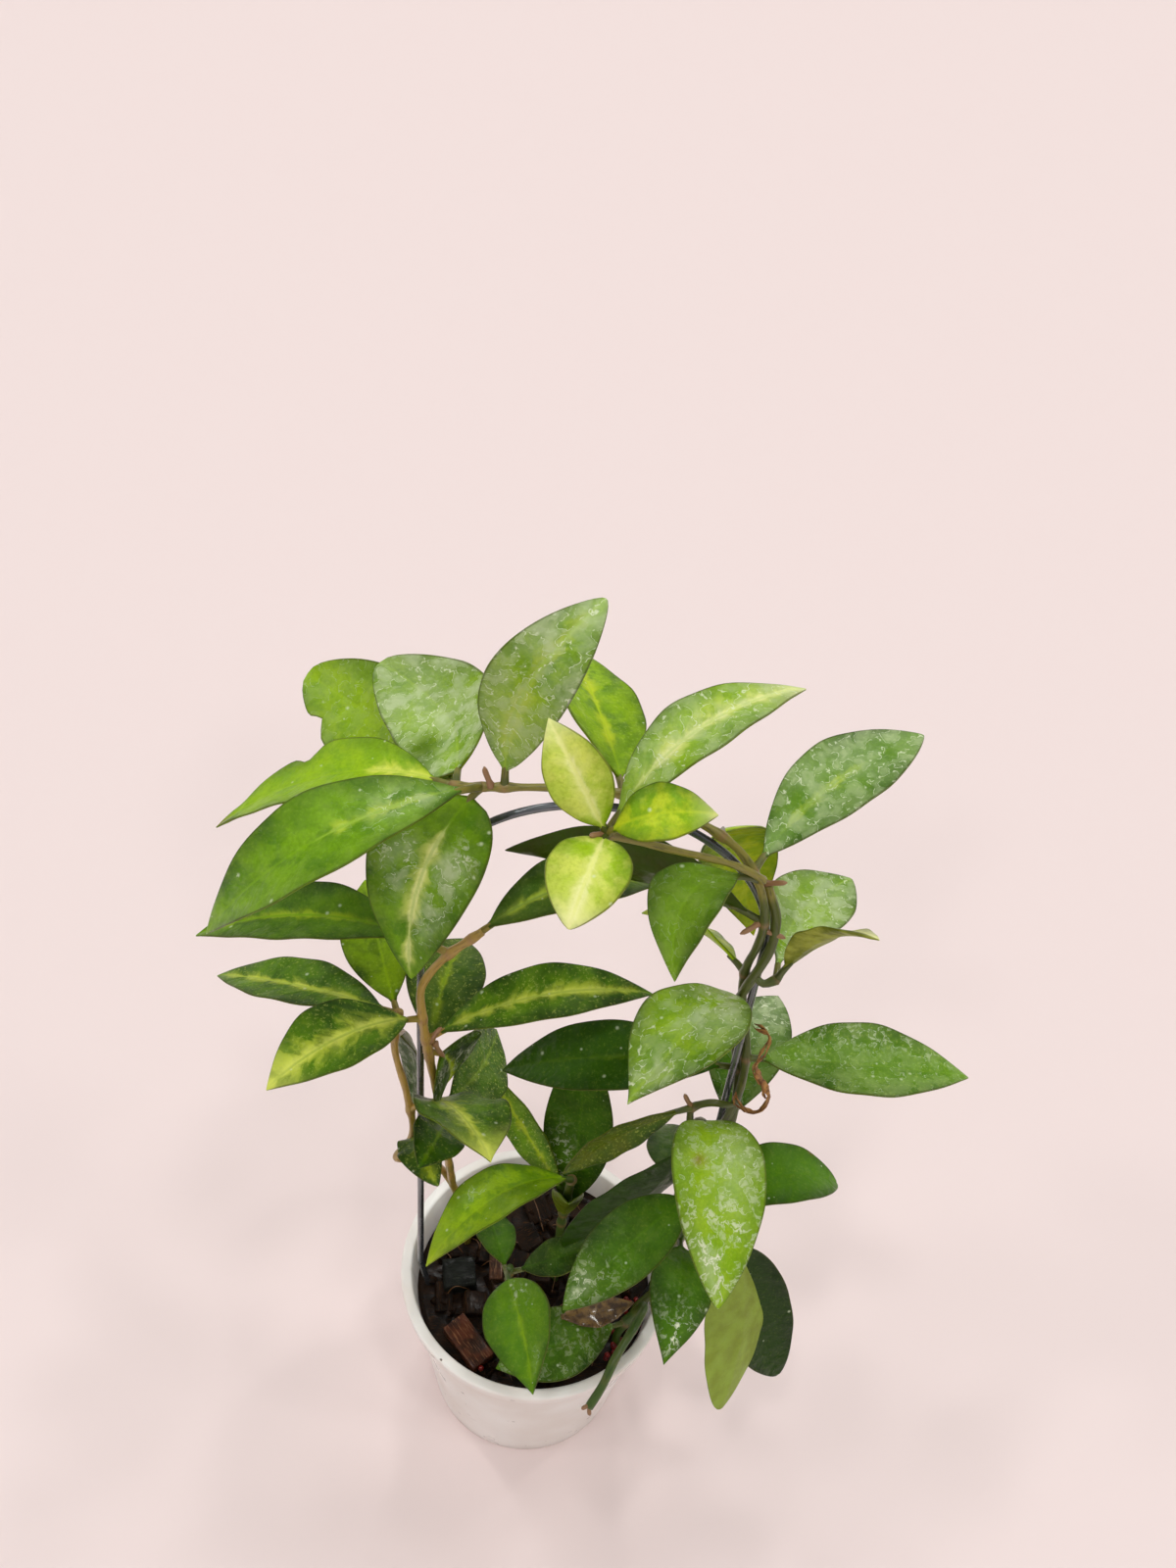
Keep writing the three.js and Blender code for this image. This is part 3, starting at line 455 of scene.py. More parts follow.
    # beads of water, about 1 mm across: their domes are in the bump, and their pale colour is a painted
    # highlight
    shiftedX, shiftedY = add("plus", x, add("times", z, 5.1)), add("plus", y, add("times", z, 3.7))
    cells = add("TexVoronoi", Vector=add("CombineXYZ", shiftedX, shiftedY), Scale=0.4,
                voronoi_dimensions="2D").node.outputs
    chance, big = add("SeparateXYZ", cells["Color"]).node.outputs[:2]
    dome = add("over", cells["Distance"], add("ease", big, 0.0, 1.0, 0.1, 0.28))
    dome = add("times", add("ease", dome, 0.0, 1.0, 1.0, 0.0), add("below", chance, read["drops"]))
    tone = add("mix", add("times", dome, 0.6), tone, "#e4ecc8")

    tone = add("mix", read["brown"], tone, "#7a4a26")
    tone = add("mix", add("times", add("ease", read["edge"], 0.94, 0.99), 0.6), tone, "#3a3c0c")
    backTone = add("mix", add("ease", blotch, 0.3, 0.7, 0.0, 0.4), read["back"], read["light"])
    tone = add("mix", read["under"], tone, backTone)
    rough = add("plus", add("ease", runny, 0.45, 0.56, 0.46, 0.3), add("times", read["under"], 0.15))

    skin = add("Bump", Height=feather, Strength=0.7, Distance=0.0006)
    height = add("plus", add("times", runny, 2.4), add("times", fine, 0.5))
    height = add("plus", height, add("times", ridgeAndGlintLine, 0.5))
    height = add("plus", height, add("times", dome, 0.8))
    water = add("Bump", Height=height, Strength=1.0, Distance=0.0009, Normal=skin)
    feed(surface, {"Base Color": tone, "Roughness": rough, "Normal": skin, "Coat Normal": water})
    return material


# Vine stem: soft bark, ridged along its length, olive when young and tan where it turns woody; it also
# darkens lower down the stem as painted shade.
# The knots where leaves grow are pinkish brown, and the grain runs in lines 0.5 mm apart.
def vineStem(name, lowTone, highTone, freckle, knotTone="#9c7050"):
    material, add, surface = newMaterial(name, Roughness=0.45, IOR=1.45, Coat_Weight=0.3, Coat_Roughness=0.15)
    place = add("Attribute", attribute_name="place", out="Vector")
    knot = add("Attribute", attribute_name="knot", out="Fac")
    woodAndLight = add("Attribute", attribute_name="woodAndLight", out="Fac")
    ridges = add("Mapping", Vector=place, Scale=(1.0, 0.16, 1.0))
    grain = add("TexNoise", Vector=ridges, Scale=2.0, Detail=4.0)
    patch = add("TexNoise", Vector=place, Scale=0.12, Detail=2.0)
    # painted shade: this mark also darkens the lower stems, on top of the change from young to woody bark
    woodyAndLit = add("plus", woodAndLight, add("ease", patch, 0.3, 0.7, -0.35, 0.35))
    tone = add("mix", add("ease", woodyAndLit, 0.2, 0.8), lowTone, highTone)
    tone = add("mix", add("ease", grain, 0.5, 0.72, 0.0, 0.6), tone, freckle)
    tone = add("mix", add("ease", knot, 0.25, 0.8, 0.0, 0.85), tone, knotTone)
    feed(surface, {"Base Color": tone, "Normal": add("Bump", Height=grain, Strength=0.6, Distance=0.0003)})
    return material


leafMaterial = waxyLeaf()
oliveStem = vineStem("oliveVineStem", "#4a5412", "#857c2e", "#2e3009")
tanStem = vineStem("tanVineStem", "#8c7c28", "#b08f42", "#6a4c20")
darkStem = vineStem("greenVineStem", "#3f5a12", "#5c6424", "#263a0a")


# a swollen ring sits on the stem where each leaf grows
stem = dict(sides=14, swell=0.35, swellReach=1.7, uneven=0.05, pink=0.55)
stub = dict(rows=8, sides=10, bend=0.3, pink=0.9, woodAndLight=0.6,
            sizes=([0, 0.3, 0.75, 0.92, 1], [0.95, 0.6, 0.62, 0.5, 0.15]))


def stemPart(route, radii, seed, joints, shadeHeights):
    line = smoothCurve(route, 1.0)
    ring = np.zeros(len(line))
    for joint in joints:
        ring = np.maximum(ring, np.exp(-(np.linalg.norm(line - joint, axis=1) / stem["swellReach"]) ** 2))
    size = np.linspace(*radii, len(line)) + stem["swell"] * ring
    size += stem["uneven"] * np.sin(np.arange(len(line)) * 0.55 + seed)
    # painted shade: the bark turns darker towards the bottom of the stem
    woodAndLight = np.clip((line[:, 2] - shadeHeights[0]) / (shadeHeights[1] - shadeHeights[0]), 0, 1)
    return tubePart(line, size, stem["sides"], seed, knot=stem["pink"] * ring, woodAndLight=woodAndLight)


def stubPart(root, tip, seed):
    # the short blunt spur that a fallen flower leaves
    share = np.linspace(0, 1, stub["rows"])
    line = np.linspace(root, tip, stub["rows"])
    line[:, 0] += stub["bend"] * np.sin(3 * share + seed)
    return tubePart(line, np.interp(share, *stub["sizes"]), stub["sides"], seed, knot=stub["pink"],
                    woodAndLight=stub["woodAndLight"])


def addVine(node, stemMaterial, routes, radii, leaves, seed, stubs=(), shadeHeights=(0, 300)):
    # the heights between which the bark turns from its dark tone, young bark and painted shade, to its tan
    # woody tone
    blades, stalks = growLeaves(leaves, routes, seed)
    joints = [nearestOn(routes, leaf["root"]) for leaf in leaves]
    stems = enumerate(zip(routes, radii))
    parts = [stemPart(route, ends, seed + i, joints, shadeHeights) for i, (route, ends) in stems]
    parts += [stubPart(root, tip, seed + i) for i, (root, tip) in enumerate(stubs)]
    addPiece(node + "_leaves", blades, leafMaterial, node)
    addPiece(node + "_stems", joinParts(parts + stalks), stemMaterial, node)
    print(node, "grown with", len(leaves), "leaves")


# The vine on the right leg and over the arch.
archStem = rooted(28, 1) + twine(92, 240, 0) + [[5, -4, 261], [-7, -4, 260.5], [-18, -4, 259], [-28, -2, 256]]
secondStem = rooted(30.5, -9.5) + twine(45, 206, twist["apart"]) + [beside(214, 0)]
youngShoot = branch([archStem], [
    [38, -4, 244], [37.5, -7, 244], [32, -9, 249], [16, -17, 260], [4, -22, 267]])
frontShoot = branch([archStem], [
    [44, -6, 163], [42, -7.6, 165], [38, -8.2, 166], [34, -8, 163], [34, -7, 157], [35, -6, 151]])
spur = branch([archStem, secondStem], [[40, -7, 213], [43, -7.6, 212], [46, -6, 212]])
rightLeaves = [
    dict(root=[-17, -4, 259], tip=[-1, 5, 301], wide=17, arch=0.16, lean=2, tilt=60, bow=0.11, roll=-3,
         skew=1.1, blunt=0.58, ground="leafy", light="lime", paintedSheen=0.5, mottle=0.5, reach=1.2, flare="haze",
         spots=[("paintedGlints", 0.5, 0.96, 0.14, 0.07, 1.2), ("paintedSheen", 0.8, -0.4, 0.25, 0.5, 0.25)]),
    dict(root=[-27, -2, 256], tip=[-49, 33, 258], wide=25, arch=-0.17, lean=1.4, bow=-0.12, roll=-26, skew=1,
         blunt=0.4, ground="leafy", light="lime", paintedSheen=0.75, mottle=0.4, wave=0.5,
         spots=[("dark", 0.35, -0.6, 0.15, 0.4, 0.5), ("paintedSheen", 0.35, -0.6, 0.15, 0.4, -0.6)]),
    dict(root=[-28, -1, 256], tip=[-68, 42, 245], wide=26, arch=-0.18, bow=-0.01, roll=-31, skew=1.5,
         blunt=0.42, ground="leafy", light="lime", mottle=0.8, paintedSheen=0.3, wave=0.7,
         bites=[(0.86, -1, 0.3, 0.03)]),
    dict(root=[-28, -2, 256], tip=[-80, 3, 231], wide=22.5, arch=0.06, tilt=-5, bow=-0.12, ground="fresh",
         light="lime", mottle=0.6, paintedSheen=0.12, reach=3, span=(0, 0.3), flare="pale",
         bites=[(0.62, 1, 0.35, 0.05), (0.9, 1, 0.3, 0.04)], spots=[("brown", 0.99, 0, 0.05, 1, 0.7)]),
    dict(root=[-22, -4, 258], tip=[-72, -31, 236], wide=22.5, arch=0.28, tilt=20, bow=0.15, roll=20,
         paintedSheen=0.12, mottle=0.6, reach=1, flare="haze", span=(0, 0.5),
         spots=[("paintedSheen", 0.15, 0, 0.2, 0.8, 0.4)]),
    dict(root=[-22, -5, 258], tip=[-33, -22, 218], wide=25, arch=0.03, tilt=50, bow=-0.11, roll=10,
         petiole=3, skew=0.68, blunt=0.72, mottle=0.6, reach=1.3, span=(0.15, 1),
         spots=[("paintedSheen", 0.42, -0.45, 0.15, 0.3, 0.8), ("paintedSheen", 0.66, -0.4, 0.12, 0.3, 0.7),
                ("paintedSheen", 0.45, 0.45, 0.14, 0.25, 0.8), ("paintedGlints", 0.3, 0.8, 0.16, 0.15, 0.6),
                ("paintedGlints", 0.25, -0.6, 0.08, 0.2, 0.6)]),
    dict(root=[7, -3, 261], tip=[-9, 40, 263], arch=0.05, bow=0.01, roll=30, light="lime", mottle=0.7,
         reach=1, span=(0.1, 0.9), flare="yellow", paintedSheen=0.1, fleck=0.3),
    dict(root=[38, -3, 245], tip=[70, 25, 261], wide=19.5, arch=0.03, bow=0.07, roll=-13, skew=1.15,
         blunt=0.7, light="leafy", paintedSheen=0.5, reach=0.8, flare="haze", span=(0.1, 0.7), mottle=0.2),
    dict(root=[46, -6, 212], tip=[65, 28, 212], wide=19.5, arch=-0.03, lean=1.5, bow=0.12, roll=2, skew=1.45,
         blunt=0.72, ground="leafy", paintedSheen=0.65, wave=0.5, light="lime"),
    dict(root=[46, -6, 212], tip=[61, -19, 243], wide=12, arch=0.13, roll=-60, ground="olive", light="pale",
         mottle=0.5, tipPale=0.9),
    dict(root=[27, -2, 252], tip=[43, 16, 201], wide=19, arch=-0.17, tilt=60, bow=0.05, roll=-5,
         ground="fresh", light="yellow", mottle=0.8, paintedSheen=0.1, back="lime"),
    dict(root=[37, -6, 243], tip=[21, -29, 235], wide=17, arch=0.34, bow=-0.15, roll=20, ground="leafy",
         paintedSheen=0.25),
    dict(root=[40, -3, 210], tip=[16, 22, 198], wide=13, roll=60, ground="fresh", light="yellow", mottle=0.8,
         flare="yellow", tipPale=0.4, back="lime"),
    dict(root=[39, -7, 231], tip=[-17, 5, 232], wide=21, arch=0.04, tilt=-80, bow=0.09, roll=-5,
         ground="deep", light="dark", paintedSheen=0.02, back="dusk"),
    dict(root=[41, -7, 201], tip=[15, -39, 206], wide=24, arch=0.31, bow=0.14, roll=23, skew=1.3, blunt=1.05,
         ground="leafy", light="lime", paintedSheen=0.38, mottle=0.6,
         spots=[("paintedSheen", 0.35, -0.1, 0.2, 0.6, 0.5), ("paintedSheen", 0.9, 0, 0.1, 0.9, 0.4)]),
    dict(root=[45, -4, 178], tip=[97, -5, 183], wide=24.5, arch=0.04, tilt=2, bow=-0.02, roll=-10,
         light="leafy", paintedSheen=0.34, fleck=0.3, spots=[("paintedGlints", 0.6, -0.7, 0.3, 0.25, 0.5)]),
    dict(root=[41, -4, 172], tip=[-14, 0, 158], wide=18.5, arch=0.22, tilt=4, bow=0.04, roll=-10,
         ground="dark", light="dark", paintedSheen=0, reach=0.4, flare="leafy"),
    dict(root=[44, -6, 150], tip=[57, 34, 158], wide=21.5, arch=0.15, bow=0.06, roll=-5, ground="dark",
         light="mid", paintedSheen=0.3, spots=[("paintedSheen", 0.85, 0, 0.25, 0.9, 0.5)]),
    dict(root=[34, -8, 163], tip=[4, -20, 146], wide=13, arch=0.05, bow=-0.2, roll=-75, ground="dark",
         light="olive", mottle=0.5, paintedSheen=0, fleck=0.4),
    dict(root=[35, -6, 151], tip=[43, -50, 145], wide=23.5, arch=0.37, lean=0.5, bow=-0.02, roll=-9,
         skew=0.7, blunt=0.67, ground="lime", mottle=0.5, paintedSheen=0.3, paintedGlints=0.2, fleck=0.2,
         spots=[("paintedSheen", 0.3, -0.4, 0.2, 0.4, 0.4), ("paintedSheen", 0.82, 0.4, 0.1, 0.3, 0.7),
                ("paintedGlints", 0.75, 0, 0.2, 0.9, 0.7), ("brown", 0.3, 0.35, 0.035, 0.12, 0.8)]),
    dict(root=[40, -1, 110], tip=[34, 28, 101], wide=14.5, roll=-10, ground="deep", light="dark", paintedSheen=0.1),
    dict(root=[3, -22, 267], tip=[-9, -13, 286], wide=12.5, arch=0.15, bow=-0.04, roll=-35, petiole=2,
         ground="lime", light="pale", mottle=0.8, reach=1.6, paintedSheen=0.1, tipPale=0.8),
    dict(root=[4, -22, 266], tip=[-1, -43, 263], wide=16, arch=0.12, bow=0.01, roll=6, petiole=2, skew=0.88,
         blunt=0.65, ground="lime", light="pale", mottle=0.7, reach=2.4, paintedSheen=0.05, tipPale=0.8),
    dict(root=[4, -22, 267], tip=[24, -21, 274], wide=12, arch=0.28, bow=-0.03, roll=5, petiole=2,
         ground="fresh", light="yellow", mottle=0.9, paintedSheen=0.12, tipPale=0.6),
    dict(root=[4, -21, 268], tip=[39, 4, 286], wide=16.5, arch=0.13, bow=0.04, roll=-20, ground="leafy",
         light="lime", mottle=0.5, reach=1.8, span=(0.1, 1), paintedSheen=0.45, tipPale=0.6),
]
addVine("right_vine", oliveStem, [archStem, secondStem, youngShoot, frontShoot, spur],
        [(1.2, 0.8), (1.2, 1.1), (0.8, 0.75), (0.9, 0.85), (0.9, 0.85)], rightLeaves, 1,
        [([38, -4, 240], [43, -6, 243]), ([-20, -4, 259], [-21, -4, 264]), ([4, -22, 267], [1, -25, 269]),
         ([34, -8, 163], [31, -8, 168]), ([40, -6, 228], [45, -7, 227]), ([39, -7, 231], [35, -9, 229])],
        shadeHeights=(225, 250))

# The vine on the left leg.
outerStem = rooted(-22, 11) + [[-25, 7, 85], [-31, 2, 108], [-38, -3, 117], [-40, -7, 124], [-35.5, -8, 137],
                               [-37, -7.5, 155], [-40, -6, 171], [-39, -5, 184]]
innerStem = branch([outerStem], [[-27, 5, 92], [-27, -2, 120], [-29, -6, 150], [-31, -8, 170], [-33, -8, 188],
                                 [-33, -8, 198], [-28, -8, 209], [-20, -7, 218]])
leftLeaves = [
    dict(root=[-27, -8, 211], tip=[-84, -8, 207], wide=20, arch=0.11, tilt=-7, bow=-0.04, petiole=9,
         ground="dark", light="leafy", mottle=0.4, reach=0.8, flare="fresh", paintedSheen=0.1, tipPale=0.3),
    dict(root=[-22, -7, 216], tip=[20, 13, 219], wide=18, arch=0.16, tilt=-5, ground="dark", light="grey",
         paintedSheen=0.1, reach=1, flare="haze", mottle=0.4),
    dict(root=[-39, -5, 182], tip=[-54, 31, 189], wide=18, arch=0.05, roll=-10, ground="dark", light="lime",
         mottle=0.5, paintedSheen=0.05, fleck=0.2),
    dict(root=[-39, -5, 183], tip=[-87, 8, 173], wide=19, arch=0.07, tilt=-10, bow=0.04, roll=5,
         ground="dark", light="leafy", mottle=0.4, reach=1.1, flare="pale", fleck=0.35, paintedSheen=0.05),
    dict(root=[-33, -8, 186], tip=[-63, -34, 189], wide=21, arch=0.11, tilt=5, bow=-0.03, roll=10,
         ground="dark", light="leafy", reach=2.9, flare="pale", mottle=0.5, fleck=0.4, paintedSheen=0.08,
         tipPale=0.8),
    dict(root=[-31, -8, 172], tip=[-28, 29, 173], wide=20, arch=0.12, bow=0.04, roll=5, ground="dark",
         light="grey", mottle=0.6, fleck=0.5, paintedSheen=0.05, reach=0.7, flare="lime"),
    dict(root=[-31, -8, 178], tip=[21, 7, 186], wide=16.5, arch=0.17, tilt=0, bow=-0.02, ground="dark",
         light="leafy", mottle=0.6, reach=1.3, flare="pale", fleck=0.45, paintedSheen=0.08),
    dict(root=[-31, -8, 174], tip=[-28, -6, 157], wide=22.5, arch=0.13, tilt=60, bow=0.16, roll=-59,
         skew=0.83, blunt=0.81, ground="deep", light="leafy", mottle=0.4, paintedSheen=0.05, reach=1.2,
         flare="yellow", fleck=0.2, paintedGlints=0.4),
    dict(root=[-28, -5, 148], tip=[-18, 26, 140], wide=19.5, arch=0.05, bow=-0.06, roll=44, ground="dark",
         light="mid", mottle=0.5, fleck=0.9, paintedSheen=0.2, reach=0.6, flare="haze"),
    dict(root=[-35, -7, 148], tip=[-13, -32, 167], wide=26, arch=0.19, bow=-0.04, roll=-43, skew=1.4,
         blunt=1.08, ground="dark", light="leafy", reach=2.2, flare="pale", mottle=0.6, fleck=0.4, paintedSheen=0.1,
         tipPale=0.8, wave=0.8),
    dict(root=[-28, -4, 140], tip=[-31, -26, 151], wide=14, arch=0.16, bow=0.02, roll=-17, ground="deep",
         light="mid", reach=0.6, flare="fresh", fleck=0.3, paintedSheen=0.03, wave=0.5),
    dict(root=[-28, -3, 130], tip=[-26, -26, 144], wide=13, arch=0.3, bow=-0.05, roll=32, blunt=0.62,
         ground="dark", light="grey", mottle=0.4, reach=1.4, flare="yellow", fleck=0.4, paintedSheen=0.03, wave=0.8),
    dict(root=[-40, -6, 175], tip=[-38, 4, 122], wide=12, arch=-0.13, bow=-0.13, roll=72, skew=0.8,
         ground="deep", light="dark", paintedSheen=0.03, paintedGlints=0.2),
]
addVine("left_vine", tanStem, [outerStem, innerStem], [(1.2, 0.85), (1.15, 0.95)],
        leftLeaves, 40, [([-31, -8, 178], [-28, -9, 185]), ([-30, -7, 176], [-27.5, -8, 172])],
        shadeHeights=(60, 160))

# The shoots that stay low.
centreStem = rooted(6, 1) + [[6, 0, 90], [7, -3, 116]]
centreLeaves = [
    dict(root=[6, -1, 104], tip=[-20, 18, 134], wide=12, arch=0.03, bow=-0.03, roll=-53, mottle=0.5,
         fleck=0.7, reach=0.8, flare="yellow"),
    dict(root=[6, 0, 94], tip=[6, 28, 142], wide=20, tilt=60, bow=-0.06, roll=-15, ground="dark",
         light="mid", fleck=0.2, paintedSheen=0.1, spots=[("paintedGlints", 0.3, -0.5, 0.15, 0.3, 0.8)]),
    dict(root=[7, -3, 117], tip=[-28, -32, 115], wide=20, arch=0.23, bow=0.06, roll=35, petiole=2,
         ground="leafy", light="lime", mottle=0.95, paintedSheen=0.1, tipPale=0.5, flare="yellow", drops=0.1,
         spots=[("paintedSheen", 0.6, 0.5, 0.12, 0.25, 0.4), ("mottle", 0.1, 0, 0.2, 1, -0.4),
                ("dark", 0.3, -0.3, 0.2, 0.3, 0.3)]),
    dict(root=[6, 0, 88], tip=[7, -8, 112], wide=12, arch=0.05, cup=0.7, tilt=-90, ground="olive",
         light="mid", paintedSheen=0.1),
]
addVine("centre_shoot", darkStem, [centreStem], [(1.25, 1.25)], centreLeaves, 60)

frontStem = rooted(-5, -15) + [[-7, -16, 78], [-7, -18, 93]]
frontLeaves = [
    dict(root=[-6, -18, 89], tip=[17, -10, 96], wide=12, arch=0.14, bow=-0.1, roll=-20, ground="deep",
         light="dark", paintedSheen=0.1),
    dict(root=[-7, -17, 84], tip=[-16, 5, 82], wide=12, arch=0.07, bow=0.03, roll=20, ground="dark",
         light="mid", paintedSheen=0.05),
    dict(root=[-6, -18, 90], tip=[3, -49, 86], wide=21.5, arch=0.18, lean=0.6, bow=0.12, roll=34, skew=0.72,
         blunt=0.95, light="leafy", mottle=0.5, paintedSheen=0.04, reach=0.5, flare="lime",
         spots=[("paintedGlints", 0.2, -0.3, 0.12, 0.2, 0.9), ("paintedSheen", 0.75, -0.4, 0.12, 0.3, 0.4)]),
]
addVine("front_shoot", darkStem, [frontStem], [(1, 1)], frontLeaves, 70)

lowRightStem = rooted(23, -6) + [[28, -9, 80], [36, -11, 100], [40, -11, 116], [38, -11, 134], [33, -10, 149]]
lowBranch = branch([lowRightStem], [[39, -11, 112], [46, -11, 110], [53, -9, 105]])
lowRightLeaves = [
    dict(root=[40, -11, 120], tip=[78, 0, 124], wide=18, arch=0.26, tilt=6, bow=0.01, roll=-4, skew=1.07,
         blunt=0.5, light="mid", paintedSheen=0.03, spots=[("brown", 0.8, -0.97, 0.015, 0.06, 1)]),
    dict(root=[38, -11, 130], tip=[8, -40, 116], wide=18.5, arch=0.12, bow=0.01, roll=8, skew=0.85,
         blunt=0.72, ground="dark", light="mid", paintedSheen=0.1,
         spots=[("paintedSheen", 0.85, 0.2, 0.12, 0.6, 0.7), ("paintedGlints", 0.8, 0, 0.2, 0.8, 0.4)]),
    dict(root=[33, -10, 149], tip=[7, -14, 100], wide=26, arch=0, tilt=10, bow=-0.16, roll=89, skew=1.29,
         blunt=0.64, ground="deep", light="dark", paintedSheen=0, back="deep"),
    dict(root=[43, -12, 104], tip=[35, -46, 105], wide=17, arch=0.22, tilt=40, roll=-5, skew=0.87,
         blunt=0.95, ground="dark", light="mid", paintedSheen=0.1, spots=[("paintedGlints", 0.78, 0, 0.2, 0.8, 1)]),
    dict(root=[52, -9, 105], tip=[55, -39, 67], wide=25, arch=0.02, bow=-0.16, roll=142, skew=0.87,
         blunt=0.5, ground="leafy", light="haze", paintedSheen=0.05, back="sage"),
    dict(root=[53, -9, 105], tip=[74, -21, 53], arch=-0.01, tilt=40, bow=-0.01, roll=-16, skew=0.88,
         blunt=0.55, ground="deep", light="deep", paintedSheen=0, mottle=0, fleck=0.05),
]
addVine("low_right_shoot", darkStem, [lowRightStem, lowBranch], [(1.25, 1.15)] * 2,
        lowRightLeaves, 80)

cutRoute = rooted(26, -17) + [[30, -15, 70], [32, -17, 77], [29, -24, 78], [25, -31, 75], [22, -37, 69],
                              [19, -41, 64]]
cutLeaves = [
    dict(root=[26, -17, 66], tip=[-8, -32, 61], wide=20, ground="dark", light="mid", paintedSheen=0.2, paintedGlints=0.15),
]
addVine("cut_shoot", darkStem, [cutRoute], [(1.25, 1.25)], cutLeaves, 90,
        [([19.4, -40.4, 64.6], [17.2, -42.2, 64.8]), ([19.2, -40.7, 64.3], [19.6, -42.6, 62.2])])


def hoopLine():
    arch = [(hoop["x"] + hoop["radius"] * math.cos(a), hoop["spring"] + hoop["radius"] * math.sin(a))
            for a in np.radians(np.arange(0, 181, hoop["archStep"]))]
    corners = hoop["right"][:-1] + arch + hoop["left"][1:]
    line = []
    for (x0, z0), (x1, z1) in zip(corners, corners[1:]):
        count = max(1, int(math.hypot(x1 - x0, z1 - z0) / hoop["step"]))
        line += [[x0 + (x1 - x0) * k / count, hoop["y"], z0 + (z1 - z0) * k / count] for k in range(count)]
    return line + [[corners[-1][0], hoop["y"], corners[-1][1]]]


# Steel wire in a smooth drawn coating: dark grey, with a soft silvery shine along it.
def coatedWire():
    material, add, surface = newMaterial("plasticCoatedWire", IOR=1.5, Metallic=0.7, Coat_Weight=0.6,
                                         Coat_Roughness=0.1)
    place = add("Attribute", attribute_name="place", out="Vector")
    scuff = add("TexNoise", Vector=place, Scale=0.1, Detail=2.0)
    tone = add("mix", add("ease", scuff, 0.3, 0.75), "#54585c", "#74787c")
    feed(surface, {"Base Color": tone, "Roughness": add("ease", scuff, 0.3, 0.7, 0.24, 0.3)})
    return material


addPiece("wire_hoop_coated", tubePart(hoopLine(), hoop["wire"], hoop["sides"]), coatedWire(),
         "wire_hoop")
print("wire hoop bent")

potSize = dict(height=62, rim=40, drop=4.5, slant=0.5, base=29.5, neck=37, wall=1, foot=1.5, drains=6,
               drainRadius=3, drainCircle=19, drainSides=24, sides=128, rows=14)


def insideAt(z):
    slope = (potSize["neck"] - potSize["base"]) / (potSize["height"] - potSize["drop"])
    return potSize["base"] + slope * z - potSize["wall"]


def ringPoints(profile, sides):
    turns = np.arange(sides) * 2 * math.pi / sides
    return [[r * math.cos(a), r * math.sin(a), z] for r, z in profile for a in turns]


# Pot: thin injection-moulded polypropylene, bright white and faintly translucent, with clouds 26 mm
# wide in its shine and splashes of dirt up to 4 mm.
def potPlastic():
    material, add, surface = newMaterial(
        "whitePolypropylene", IOR=1.49, Subsurface_Weight=0.25, Subsurface_Scale=1.0,
        Subsurface_Radius=(0.004, 0.0036, 0.0034))
    place = add("TexCoord", out="Object")
    cloud = add("TexNoise", Vector=place, Scale=38.0, Detail=3.0)
    tone = add("mix", add("ease", cloud, 0.35, 0.7), "#faf5ef", "#f0e6de")
    flat = add("Mapping", Vector=place, Scale=(1.0, 1.0, 3.2))
    speck = add("TexNoise", Vector=flat, Scale=260.0, Detail=2.0)
    where = add("TexNoise", Vector=place, Scale=60.0)
    dirt = add("times", add("ease", speck, 0.69, 0.74), add("ease", where, 0.5, 0.62))
    tone = add("mix", dirt, tone, "#6a5644")
    feed(surface, {"Base Color": tone, "Roughness": add("ease", cloud, 0.3, 0.7, 0.26, 0.42),
                   "Normal": add("Bump", Height=where, Strength=0.12, Distance=0.0006)})
    return material


def potProfile():
    # radius and height of each ring, from the middle of the base out, over the rim and down inside
    p = potSize
    lip, top, out, neck = p["height"] - p["drop"], p["height"], p["rim"], p["neck"]
    foot = [(p["base"] - p["foot"] * (1 - math.sin(a)), p["foot"] * (1 - math.cos(a)))
            for a in np.radians([0, 20, 40, 60, 80])]
    outer = [(p["base"] + (neck - p["base"]) * z / lip, z)
             for z in np.linspace(p["foot"], lip - 0.4, p["rows"])]
    skirt = [(neck + 0.1, lip - 0.02), (out - p["slant"] - 0.6, lip), (out - p["slant"] - 0.2, lip + 0.05),
             (out - p["slant"], lip + 0.4), (out - 0.1, top - 1.3)]
    crown = [(out, top - 0.9), (out - 0.05, top - 0.45), (out - 0.3, top - 0.12), (out - 0.7, top),
             (neck + 0.5, top), (neck + 0.05, top - 0.12), (neck - 0.2, top - 0.5)]
    inner = [(insideAt(z), z) for z in np.linspace(lip, p["wall"] + p["foot"], p["rows"])]
    inside = [(p["base"] - p["foot"] - p["wall"], p["wall"])] + [(r, p["wall"]) for r in (24, 10, 0.4)]
    return [(r, 0) for r in (0.4, 10, 24)] + foot + outer + skirt + crown + inner + inside


def drainCutter():
    work = bmesh.new()
    size = potSize["drainRadius"] / 1000
    for i in range(potSize["drains"]):
        angle = 2 * math.pi * i / potSize["drains"]
        at = Vector((math.cos(angle), math.sin(angle), 0)) * potSize["drainCircle"] / 1000
        bmesh.ops.create_cone(work, cap_ends=True, segments=potSize["drainSides"], radius1=size, radius2=size,
                              depth=0.006, matrix=Matrix.Translation(at))
    mesh = bpy.data.meshes.new("drainCutters")
    work.to_mesh(mesh)
    work.free()
    return addObject("drainCutters", mesh)


